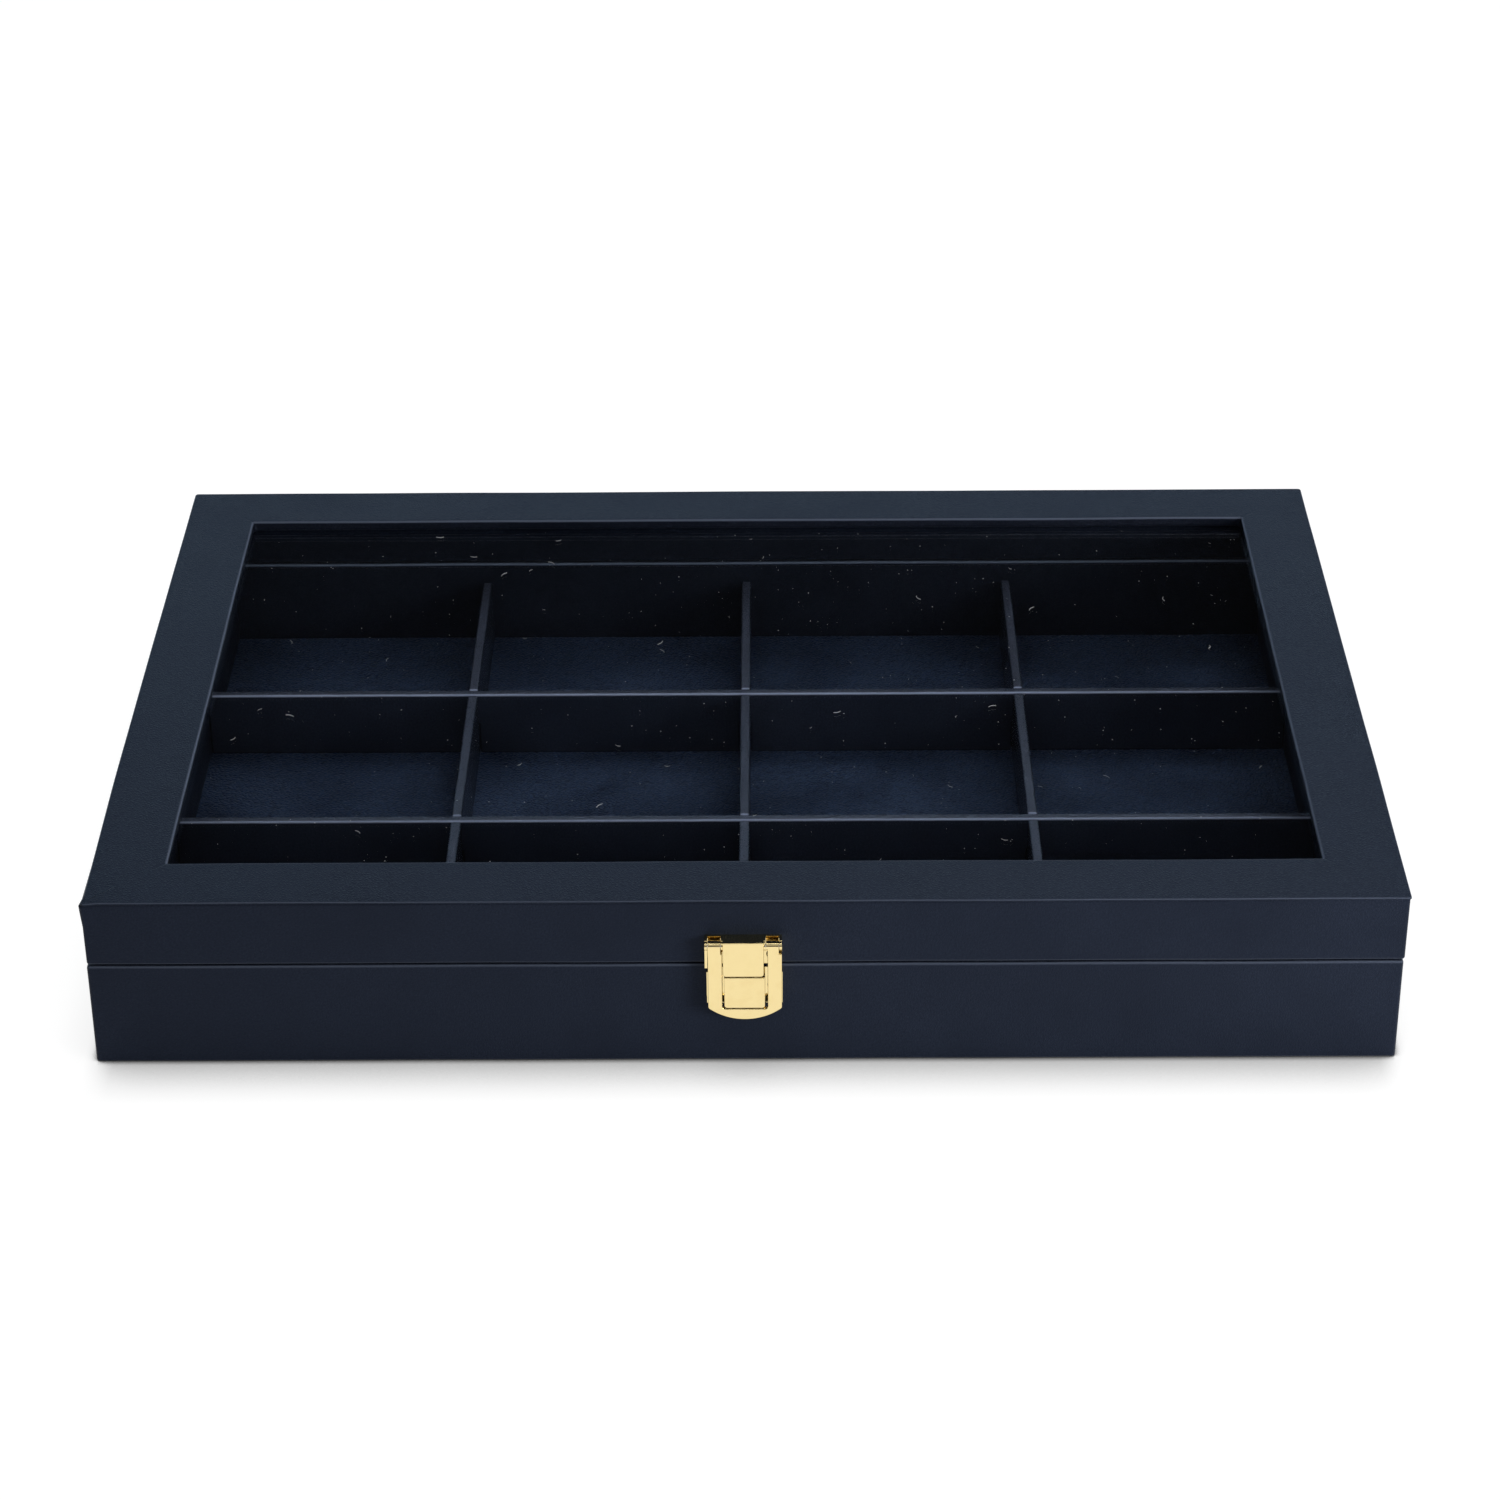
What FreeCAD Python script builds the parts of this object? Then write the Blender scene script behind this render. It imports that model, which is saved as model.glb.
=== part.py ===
import FreeCAD, Part
import os
import re

import Sketcher

# A low display case for jewellery: a covered tray with a divider grid, a hinged lid with a glass
# window, and a latch whose U-shaped hasp hangs from the lid and closes round a block on the tray.
# Millimetres. X runs left to right, Y front to back, Z up.
# The origin is on the table under the middle of the case.

CASE = {
    "lid_length": 350.0,  # over the top sheet, left to right
    "lid_depth": 240.0,  # over the top sheet, front to back
    "lid_height": 19.7,  # from the lid's bottom edge to its top
    "base_height": 30.7,  # from the table to the tray's rim
    "seam_gap": 0.6,  # between rim and lid
    "sheet_proud": 0.3,  # the top sheet stands out past the lid walls
    "base_inset": 0.15,  # the tray stands back from the lid walls
    "wall_board": 10.0,
    "bottom_board": 2.3,
    "panel_board": 2.4,
    "cover_thick": 0.8,
    "turn_in": 12.0,  # the cover's edge turned under the bottom
    "underside_thick": 0.5,
    "underside_margin": 2.0,
    "lining_thick": 0.7,  # the sheet on the floor of the tray
    "wall_lining": 0.5,  # the sheets on the inside of its walls
    "lining_drop": 1.0,  # from the rim down to the wall lining
    "corner_radius": 0.8,  # upright corners of the covers
    "edge_radius": 0.6,  # rims and top edges of the covers
}

WINDOW = {
    "border_side": 21.0,
    "border_front": 20.0,
    "glass_thick": 1.5,
    "glass_play": 0.5,
    "strip_width": 4.0,
    "strip_height": 3.5,
}

GRID = {
    "columns": 4,
    "rows": 3,
    "divider_thick": 3.0,
    "divider_drop": 6.1,  # from the rim down to the divider tops
    "grid_shift": 0.4,  # the cross dividers stand this much to the left of even spacing
    "divider_play": 0.15,
    "divider_round": 1.2,
    "lap_play": 0.1,
}

LATCH = {
    "latch_rise": 8.9,  # from the lid's bottom edge to the plate's top
    "latch_stand": 4.4,  # from the lid wall to the front of the blocks
    "latch_sheet": 0.8,
    "plate_margin": 0.3,  # both plates end this far from the seam
    "plate_width": 20.4,
    "plate_shift": 0.3,  # the lid's plate sits this much to the left of the catch
    "ear_thick": 0.7,
    "inner_ear": 0.5,
    "ear_room": 0.3,  # the ears end this far behind the hasp's arms
    "block_narrower": 9.6,  # than the lid's plate
    "block_overhang": 1.7,  # the lid's block hangs past the lid's bottom edge
    "block_room": 0.3,  # between that overhang and the catch's plate
    "block_gap": 0.3,
    "block_corner": 0.8,
    "catch_height": 9.6,
    "catch_skirt": 0.7,  # the catch's plate reaches this far below its block
    "catch_ear_height": 7.6,
    "hasp_narrower": 0.8,  # than the lid's plate
    "hasp_shift": 0.1,  # the hasp hangs this much to the right of the catch
    "hasp_sheet": 1.0,
    "hasp_corner": 0.9,
    "arm_width": 3.75,
    "bar_height": 3.3,
    "bar_sag": 3.6,  # the lower edge's rise from the middle to the sides
    "catch_play": 0.3,  # between the catch's block and the hasp's bar
    "latch_pin_radius": 0.6,
    "latch_bore_play": 0.05,
    "latch_roll": 0.65,  # sheet rolled round the latch pin
    "latch_head_room": 0.15,  # from the plate's top down to the knuckles
    "latch_side_play": 0.15,
    "arm_shoulder": 0.7,  # the arms narrow this far below the knuckles
    "latch_edge": 0.25,
    "latch_screw_radius": 0.7,
    "latch_screw_length": 7.0,
    "latch_screw_drop": 5.6,  # from each plate's upper edge
    "latch_head_radius": 1.4,
    "latch_head_height": 0.7,
}

HINGE = {
    "hinge_from_side": 70.0,  # from the lid's side to the middle of a hinge
    "hinge_length": 32.0,
    "leaf_height": 11.0,
    "leaf_sheet": 0.8,
    "leaf_corner": 1.5,
    "hinge_pin_radius": 0.7,
    "hinge_bore_play": 0.04,
    "hinge_roll": 0.8,  # sheet rolled round the hinge pin
    "hinge_room": 0.3,  # free space round the turning knuckles
    "lid_knuckle_length": 10.0,
    "stop_reach": 3.0,  # from the pin's axis to the end of the stop lug
    "stop_thick": 1.0,
    "stop_play": 0.1,
    "lid_opening": 100.0,  # degrees, where the stop lug meets the base leaf
    "hinge_screw_spacing": 22.0,
    "hinge_screw_drop": 7.0,  # from the pin's axis to the screws
    "hinge_screw_radius": 0.9,
    "hinge_screw_length": 8.0,
    "hinge_head_radius": 1.7,
    "hinge_head_height": 0.6,
}

doc = FreeCAD.newDocument("CompartmentCase")
sizes = doc.addObject("Spreadsheet::Sheet", "Sizes")
driving = {**CASE, **WINDOW, **GRID, **LATCH, **HINGE}
for row, (alias, number) in enumerate(driving.items(), 1):
    sizes.set(f"A{row}", alias)
    sizes.set(f"B{row}", str(number))
    sizes.setAlias(f"B{row}", alias)
doc.recompute()

subparts = []

# Worked-out planes and half lengths, as formulas in the sheet's aliases.
base_x = "(lid_length / 2 - sheet_proud - base_inset)"
base_y = "(lid_depth / 2 - sheet_proud - base_inset)"
lid_x = "(lid_length / 2 - sheet_proud)"
lid_y = "(lid_depth / 2 - sheet_proud)"
window_x = "(lid_length / 2 - border_side)"
window_y = "(lid_depth / 2 - border_front)"
wall = "(wall_board + 2 * cover_thick)"
tray_x = f"({base_x} - {wall})"
tray_y = f"({base_y} - {wall})"
inner_x = f"({tray_x} - wall_lining)"
inner_y = f"({tray_y} - wall_lining)"
lid_inner_x = f"({lid_x} - {wall})"
lid_inner_y = f"({lid_y} - {wall})"

board_low = "(underside_thick + cover_thick)"
wall_low = f"({board_low} + bottom_board)"
wall_high = "(base_height - cover_thick)"
floor_top = f"({wall_low} + lining_thick)"
divider_top = "(base_height - divider_drop)"
divider_middle = f"(({floor_top} + {divider_top}) / 2)"
lid_low = "(base_height + seam_gap)"
lid_top = f"({lid_low} + lid_height)"
lid_roof = f"({lid_top} - cover_thick - panel_board)"
glass_low = f"({lid_roof} - glass_thick)"
beyond = "(cover_thick + divider_thick)"  # how far a cutting tool runs past a face
same_place = 1e-4  # two coordinates closer than this are one


# Expressions and values
def expression(formula):
    """The formula with each alias read from the sheet."""

    def from_sheet(word):
        return f"Sizes.{word[0]}" if word[0] in driving else word[0]

    return re.sub(r"[a-z_]+", from_sheet, formula)


def value(formula):
    return float(sizes.evalExpression(expression(formula)))


def bind(target, **formulas):
    for name, formula in formulas.items():
        target.setExpression(name.replace("__", "."), expression(formula))


def span(half):
    """From one side of the middle to the other."""
    return f"(-{half})", half


def about(middle, width):
    return f"({middle} - {width} / 2)", f"({middle} + {width} / 2)"


# Primitives and booleans
def block(name, x, y, z):
    """A box between two planes each way, each way given as (low, high)."""
    solid = doc.addObject("Part::Box", name)
    for axis, side, (low, high) in zip("xyz", ("Length", "Width", "Height"), (x, y, z)):
        solid.setExpression(f"Placement.Base.{axis}", expression(low))
        solid.setExpression(side, expression(f"{high} - ({low})"))
    return solid


def rod_across(name, x, y, z, radius):
    """A round bar along X, from x[0] to x[1]."""
    solid = doc.addObject("Part::Cylinder", name)
    solid.Placement.Rotation = FreeCAD.Rotation(FreeCAD.Vector(0, 1, 0), 90)
    bind(solid, Radius=radius, Height=f"{x[1]} - ({x[0]})", Placement__Base__x=x[0])
    bind(solid, Placement__Base__y=y, Placement__Base__z=z)
    return solid


def rod_inward(name, x, y, z, radius):
    """A round bar along Y, from y[0] to y[1]."""
    solid = doc.addObject("Part::Cylinder", name)
    solid.Placement.Rotation = FreeCAD.Rotation(FreeCAD.Vector(1, 0, 0), -90)
    bind(solid, Radius=radius, Height=f"{y[1]} - ({y[0]})", Placement__Base__x=x)
    bind(solid, Placement__Base__y=y[0], Placement__Base__z=z)
    return solid


def join(name, pieces):
    solid = doc.addObject("Part::MultiFuse", name)
    solid.Shapes = pieces
    solid.Refine = True
    return solid


def cut(name, solid, tool):
    result = doc.addObject("Part::Cut", name)
    result.Base = solid
    result.Tool = tool
    return result


def group(name, pieces):
    """Separate solids kept together."""
    together = doc.addObject("Part::Compound", name)
    together.Links = pieces
    return together


def rounded(name, solid, *rules):
    """Rounds the edges that each rule picks: a rule is a test of an edge's box, and a radius."""
    doc.recompute()
    edges = []
    for number, edge in enumerate(solid.Shape.Edges, 1):
        for picks, radius in rules:
            if picks(edge.BoundBox):
                edges.append((number, value(radius), value(radius)))
                break
    result = doc.addObject("Part::Fillet", name)
    result.Base = solid
    result.Edges = edges
    return result


def near(a, b):
    return abs(a - b) < same_place


def upright(box):
    return near(box.XLength, 0) and near(box.YLength, 0)


def at_height(formula):
    """Picks the edges that lie in a level plane."""
    level = value(formula)
    return lambda box: near(box.ZMin, level) and near(box.ZMax, level)


def at_front(formula):
    """Picks the edges that lie in a plane facing the front."""
    plane = value(formula)
    return lambda box: near(box.YMin, plane) and near(box.YMax, plane)


def level_loop(x, y, z):
    """Picks the edges at height z on the sides of a rectangle of half lengths x and y."""
    half_x, half_y, level = value(x), value(y), value(z)

    def picks(box):
        on_side = near(box.XLength, 0) and near(abs(box.XMin), half_x)
        on_end = near(box.YLength, 0) and near(abs(box.YMin), half_y)
        return near(box.ZMin, level) and near(box.ZMax, level) and (on_side or on_end)

    return picks


def keep(solid, label):
    """Names a finished sub-part."""
    solid.Label = label
    subparts.append(solid)
    return solid


# Sketched bodies
def new_body(name):
    return doc.addObject("PartDesign::Body", name)


def new_sketch(body, name, plane, offset):
    """A sketch on one of the body's own origin planes, moved along that plane's normal."""
    sketch = body.newObject("Sketcher::SketchObject", name)
    support = next(feature for feature in body.Origin.OriginFeatures if feature.Role == plane)
    sketch.AttachmentSupport = [(support, "")]
    sketch.MapMode = "FlatFace"
    sketch.setExpression("AttachmentOffset.Base.z", expression(offset))
    return sketch


def pin_point(sketch, side, end, point):
    """Holds one end of a side at a point given by two formulas."""
    for kind, formula in zip(("DistanceX", "DistanceY"), point):
        number = sketch.addConstraint(Sketcher.Constraint(kind, -1, 1, side, end, value(formula)))
        name = f"{kind[-1].lower()}{side}"
        sketch.renameConstraint(number, name)
        sketch.setExpression(f"Constraints.{name}", expression(formula))


def outline(sketch, points, bow=None):
    """A closed outline through the points. bow is the number of a side that is an arc, and its rise."""
    first = sketch.GeometryCount
    corners = [FreeCAD.Vector(value(across), value(up), 0) for across, up in points]
    for number, start in enumerate(corners):
        end = corners[(number + 1) % len(corners)]
        if bow and number == bow[0]:
            middle = (start + end) / 2 - FreeCAD.Vector(0, value(bow[1]), 0)
            sketch.addGeometry(Part.Arc(start, middle, end))
        else:
            sketch.addGeometry(Part.LineSegment(start, end))
    for number, point in enumerate(points):
        side = first + number
        following = first + (number + 1) % len(points)
        pin_point(sketch, side, 1, point)
        sketch.addConstraint(Sketcher.Constraint("Coincident", side, 2, following, 1))
    if bow:
        width = f"({points[bow[0] + 1][0]} - {points[bow[0]][0]})"
        radius = f"(({width} / 2) ^ 2 + {bow[1]} ^ 2) / (2 * {bow[1]})"
        number = sketch.addConstraint(Sketcher.Constraint("Radius", first + bow[0], value(radius)))
        sketch.renameConstraint(number, "bow_radius")
        sketch.setExpression("Constraints.bow_radius", expression(radius))


def rectangle(sketch, across, up):
    (left, right), (low, high) = across, up
    outline(sketch, [(left, low), (right, low), (right, high), (left, high)])


def ring(sketch, across, up, radius):
    """A circle about a point."""
    middle = FreeCAD.Vector(value(across), value(up), 0)
    number = sketch.addGeometry(Part.Circle(middle, FreeCAD.Vector(0, 0, 1), value(radius)))
    pin_point(sketch, number, 3, (across, up))
    size = sketch.addConstraint(Sketcher.Constraint("Radius", number, value(radius)))
    sketch.renameConstraint(size, f"radius{number}")
    sketch.setExpression(f"Constraints.radius{number}", expression(radius))


def pad(body, sketch, length):
    feature = body.newObject("PartDesign::Pad", f"{sketch.Name}_pad")
    feature.Profile = sketch
    bind(feature, Length=length)
    return feature


def pocket(body, sketch):
    """Cuts the sketch through the whole body, both ways."""
    feature = body.newObject("PartDesign::Pocket", f"{sketch.Name}_pocket")
    feature.Profile = sketch
    feature.Type = "ThroughAll"
    feature.SideType = "Symmetric"
    return feature


def soften(body, feature, name, radius, picks):
    """A fillet on the edges of the body that picks accepts."""
    doc.recompute()
    names = [f"Edge{n}" for n, edge in enumerate(feature.Shape.Edges, 1) if picks(edge.BoundBox)]
    fillet = body.newObject("PartDesign::Fillet", name)
    fillet.Base = (feature, names)
    bind(fillet, Radius=radius)
    return fillet


# Screws
def screws(label, points, head, shank, head_radius, radius):
    """Round-head screws along Y, one at each (x, z). head and shank are (low, high) in Y."""
    pieces = []
    for number, (x, z) in enumerate(points):
        top = rod_inward(f"{label}_head_{number}", x, head, z, head_radius)
        stem = rod_inward(f"{label}_shank_{number}", x, shank, z, radius)
        pieces.append(join(f"{label}_{number}", [top, stem]))
    return keep(group(label, pieces), label)


# Walls and covers
def wall_frame(prefix, half_x, half_y, z, drills):
    """Four butt-jointed boards round a rectangle. drills holds the screws that enter two of them."""
    across = span(half_x)
    between = span(f"({half_x} - wall_board)")
    deep = span(f"({half_y} - wall_board)")
    walls = {
        "front": (across, (f"(-{half_y})", f"(-{half_y} + wall_board)"), z),
        "back": (across, (f"({half_y} - wall_board)", half_y), z),
        "left": ((f"(-{half_x})", between[0]), deep, z),
        "right": ((between[1], half_x), deep, z),
    }
    for side, planes in walls.items():
        board = block(f"{prefix}_{side}_plank", *planes)
        if side in drills:
            board = cut(f"{prefix}_{side}_drilled", board, drills[side])
        keep(board, f"{prefix}_{side}_board")


def wall_room(name, half_x, half_y, z):
    """The room that four wall boards take up inside a cover."""
    outside = block(f"{name}_outside", span(half_x), span(half_y), z)
    inner_span = (span(f"({half_x} - wall_board)"), span(f"({half_y} - wall_board)"))
    return cut(name, outside, block(f"{name}_inside", *inner_span, z))


def base_cover(drills):
    low, high = "underside_thick", "base_height"
    skin = block("base_skin", span(base_x), span(base_y), (low, high))
    skin = rounded(
        "base_skin_rounded",
        skin,
        (upright, "corner_radius"),
        (at_height(low), "edge_radius"),
        (at_height(high), "edge_radius"),
    )
    boards = (f"({base_x} - cover_thick)", f"({base_y} - cover_thick)")
    open_bottom = (span(f"({base_x} - turn_in)"), span(f"({base_y} - turn_in)"))
    rooms = [
        block("bottom_room", span(boards[0]), span(boards[1]), (board_low, wall_low)),
        wall_room("base_wall_room", *boards, (wall_low, wall_high)),
        block("tray_room", span(tray_x), span(tray_y), (wall_low, f"({high} + {beyond})")),
        block("turn_in_room", *open_bottom, ("0", wall_low)),
    ]
    hollowed = cut("base_cover_hollowed", skin, join("base_cover_rooms", rooms + drills))
    rim = level_loop(tray_x, tray_y, high)
    keep(rounded("base_cover_softened", hollowed, (rim, "edge_radius")), "base_cover")


def lid_cover(drills):
    """The wrapped walls and the top sheet, which runs past them and turns down into the window."""
    sheet_low = f"({lid_top} - cover_thick)"
    walls = block("lid_skin_walls", span(lid_x), span(lid_y), (lid_low, sheet_low))
    walls = rounded(
        "lid_skin_walls_rounded", walls, (upright, "corner_radius"), (at_height(lid_low), "edge_radius")
    )
    sheet_halves = (span("(lid_length / 2)"), span("(lid_depth / 2)"))
    sheet = block("lid_skin_sheet", *sheet_halves, (sheet_low, lid_top))
    sheet = rounded(
        "lid_skin_sheet_rounded", sheet, (upright, "corner_radius"), (at_height(lid_top), "edge_radius")
    )
    boards = (f"({lid_x} - cover_thick)", f"({lid_y} - cover_thick)")
    frame_room = block("frame_room_whole", span(boards[0]), span(boards[1]), (lid_roof, sheet_low))
    window_frame = (span(f"({window_x} + cover_thick)"), span(f"({window_y} + cover_thick)"))
    frame_hole = block("frame_hole", *window_frame, (lid_roof, sheet_low))
    rooms = [
        wall_room("lid_wall_room", *boards, (f"({lid_low} + cover_thick)", lid_roof)),
        cut("frame_room", frame_room, frame_hole),
        block("lid_room", span(lid_inner_x), span(lid_inner_y), (f"({lid_low} - {beyond})", lid_roof)),
        block("window_room", span(window_x), span(window_y), (glass_low, f"({lid_top} + {beyond})")),
    ]
    skin = join("lid_skin", [walls, sheet])
    hollowed = cut("lid_cover_hollowed", skin, join("lid_cover_rooms", rooms + drills))
    softened = rounded(
        "lid_cover_softened",
        hollowed,
        (level_loop(window_x, window_y, lid_top), "edge_radius"),
        (level_loop(lid_inner_x, lid_inner_y, lid_low), "edge_radius"),
    )
    keep(softened, "lid_cover")


def bottom_pieces():
    boards = (span(f"({base_x} - cover_thick)"), span(f"({base_y} - cover_thick)"))
    keep(block("bottom_plank", *boards, (board_low, wall_low)), "base_bottom_board")
    keep(block("floor_sheet", span(tray_x), span(tray_y), (wall_low, floor_top)), "floor_lining")

    sheet = new_body("underside")
    lower = new_sketch(sheet, "underside_outline", "XY_Plane", "0")
    rectangle(lower, span(f"({base_x} - underside_margin)"), span(f"({base_y} - underside_margin)"))
    pad(sheet, lower, "underside_thick")
    upper = new_sketch(sheet, "underside_filling", "XY_Plane", "underside_thick")
    rectangle(upper, span(f"({base_x} - turn_in)"), span(f"({base_y} - turn_in)"))
    pad(sheet, upper, "cover_thick")
    keep(sheet, "underside_sheet")


def wall_linings():
    """The covered card on the inside of the tray's walls. Its upper edge stops short of the rim."""
    z = (floor_top, "(base_height - lining_drop)")
    linings = {
        "front": (span(tray_x), (f"(-{tray_y})", f"(-{inner_y})")),
        "back": (span(tray_x), (inner_y, tray_y)),
        "left": ((f"(-{tray_x})", f"(-{inner_x})"), span(inner_y)),
        "right": ((inner_x, tray_x), span(inner_y)),
    }
    for side, planes in linings.items():
        keep(block(f"lining_{side}", *planes, z), f"wall_lining_{side}")


def top_frame():
    frame = new_body("top_frame")
    board = new_sketch(frame, "top_frame_outline", "XY_Plane", lid_roof)
    rectangle(board, span(f"({lid_x} - cover_thick)"), span(f"({lid_y} - cover_thick)"))
    rectangle(board, span(f"({window_x} + cover_thick)"), span(f"({window_y} + cover_thick)"))
    pad(frame, board, "panel_board")
    keep(frame, "lid_top_frame")


def glazing():
    pane = new_body("pane")
    sheet = new_sketch(pane, "pane_outline", "XY_Plane", glass_low)
    rectangle(sheet, span(f"({lid_inner_x} - glass_play)"), span(f"({lid_inner_y} - glass_play)"))
    pad(pane, sheet, "glass_thick")
    keep(pane, "glass_pane")

    z = (f"({glass_low} - strip_height)", glass_low)
    short_x, short_y = f"({lid_inner_x} - strip_width)", f"({lid_inner_y} - strip_width)"
    strips = {
        "front": (span(lid_inner_x), (f"(-{lid_inner_y})", f"(-{short_y})")),
        "back": (span(lid_inner_x), (short_y, lid_inner_y)),
        "left": ((f"(-{lid_inner_x})", f"(-{short_x})"), span(short_y)),
        "right": ((short_x, lid_inner_x), span(short_y)),
    }
    for side, planes in strips.items():
        keep(block(f"strip_{side}", *planes, z), f"glass_strip_{side}")


# Divider grid
def divider_place(half, cells, number):
    """The middle of a divider, counted from 1 at the low side, between equal cells."""
    return f"(-{half} + {number} * (2 * {half} + divider_thick) / {cells} - divider_thick / 2)"


def divider(label, plank, plane, notches, notch_z, ends):
    """An upright strip with rounded top edges and a notch at each crossing."""
    body = new_body(label)
    foot = new_sketch(body, f"{label}_foot", "XY_Plane", floor_top)
    rectangle(foot, *plank)
    strip = pad(body, foot, f"{divider_top} - {floor_top}")
    top = at_height(divider_top)
    soften(body, strip, f"{label}_round", "divider_round", lambda box: top(box) and not ends(box))
    laps = new_sketch(body, f"{label}_laps", plane, "0")
    for middle in notches:
        rectangle(laps, about(middle, "(divider_thick + 2 * lap_play)"), notch_z)
    pocket(body, laps)
    keep(body, label)


def divider_grid():
    even_columns = [divider_place(inner_x, "columns", n) for n in range(1, GRID["columns"])]
    column_places = [f"({place} - grid_shift)" for place in even_columns]
    row_places = [divider_place(inner_y, "rows", n) for n in range(1, GRID["rows"])]
    lower = (f"({floor_top} - {beyond})", divider_middle)
    upper = (divider_middle, f"({divider_top} + {beyond})")

    def along_y(box):
        return near(box.XLength, 0)

    def along_x(box):
        return near(box.YLength, 0)

    for number, place in enumerate(row_places, 1):
        plank = (span(f"({inner_x} - divider_play)"), about(place, "divider_thick"))
        divider(f"long_divider_{number}", plank, "XZ_Plane", column_places, lower, along_y)
    for number, place in enumerate(column_places, 1):
        plank = (about(place, "divider_thick"), span(f"({inner_y} - divider_play)"))
        divider(f"cross_divider_{number}", plank, "YZ_Plane", row_places, upper, along_x)


# Latch. Depths count forward from the lid's front wall.
def depth(formula):
    return f"(-{lid_y} - ({formula}))"


latch_top = f"({lid_low} + latch_rise)"
latch_front = depth("latch_stand")
knuckle = "(latch_pin_radius + latch_bore_play + latch_roll)"
latch_pin_y = depth(f"latch_stand - {knuckle}")
latch_pin_z = f"({latch_top} - latch_head_room - {knuckle})"
shoulder_z = f"({latch_pin_z} - {knuckle} - arm_shoulder)"
ear_front = depth("latch_stand - hasp_sheet - ear_room")
block_width = "(plate_width - block_narrower)"
wing = f"({block_width} / 4 + plate_width / 4 - ear_thick / 2)"  # from a plate's middle to its screws
catch_top = f"({lid_low} - block_overhang - block_gap)"
catch_low = f"({catch_top} - catch_height)"
catch_back = depth("-base_inset")
catch_sheet_front = depth("latch_sheet - base_inset")


def latch_block(name, x, back, z):
    """A raised block with a softened face and two rounded lower corners."""
    solid = block(f"{name}_raw", x, (latch_front, back), z)
    bottom = value(z[0])

    def lower_corner(box):
        return near(box.ZMin, bottom) and near(box.ZMax, bottom) and near(box.XLength, 0)

    solid = rounded(f"{name}_corners", solid, (lower_corner, "block_corner"))
    return rounded(name, solid, (at_front(latch_front), "latch_edge"))


def ear(name, x, z, lobed):
    """A flange that stands forward from a plate, with a round lobe where it holds the pin."""
    flange = block(f"{name}_flange", x, (ear_front, depth("0")), z)
    if not lobed:
        return [flange]
    return [flange, rod_across(f"{name}_lobe", x, latch_pin_y, latch_pin_z, knuckle)]


def latch_plate(pin, fixings):
    """The plate on the lid, its ears, and the block between them."""
    left, right = about("(-plate_shift)", "plate_width")
    inner_left, inner_right = about("(-plate_shift)", block_width)
    low = f"({lid_low} + plate_margin)"
    block_z = (f"({lid_low} - block_overhang)", latch_top)
    raised = latch_block("plate_block", (inner_left, inner_right), depth("0"), block_z)
    behind = depth("latch_sheet - base_inset + block_room")
    relief = block("plate_block_relief", (left, right), (behind, f"(-{lid_y} + {beyond})"), ("0", low))
    ears = {
        "ear_left": (left, f"({left} + ear_thick)"),
        "ear_right": (f"({right} - ear_thick)", right),
        "inner_left": (f"({inner_left} - inner_ear)", inner_left),
        "inner_right": (inner_right, f"({inner_right} + inner_ear)"),
    }
    ear_lows = {"ear_left": low, "ear_right": low, "inner_left": shoulder_z, "inner_right": shoulder_z}
    pieces = [
        block("plate_sheet", (left, right), (depth("latch_sheet"), depth("0")), (low, latch_top)),
        cut("plate_block_relieved", raised, relief),
    ]
    for side, x in ears.items():
        pieces += ear(f"plate_{side}", x, (ear_lows[side], latch_top), True)
    drilled = cut("latch_plate_drilled", join("latch_plate_whole", pieces), pin)
    keep(cut("latch_plate_finished", drilled, fixings), "latch_plate")


def latch_catch(fixings):
    """The plate on the tray with the block that the hasp closes round."""
    left, right = about("0", "(plate_width - 2 * base_inset)")
    z = (f"({catch_low} - catch_skirt)", "(base_height - plate_margin)")
    ear_z = (f"({z[1]} - catch_ear_height)", z[1])
    raised = latch_block("catch_block", span(f"({block_width} / 2)"), catch_back, (catch_low, catch_top))
    pieces = [
        block("catch_sheet", (left, right), (catch_sheet_front, catch_back), z),
        raised,
        *ear("catch_ear_left", (left, f"({left} + ear_thick)"), ear_z, False),
        *ear("catch_ear_right", (f"({right} - ear_thick)", right), ear_z, False),
    ]
    keep(cut("latch_catch_finished", join("latch_catch_whole", pieces), fixings), "latch_catch")


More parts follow.
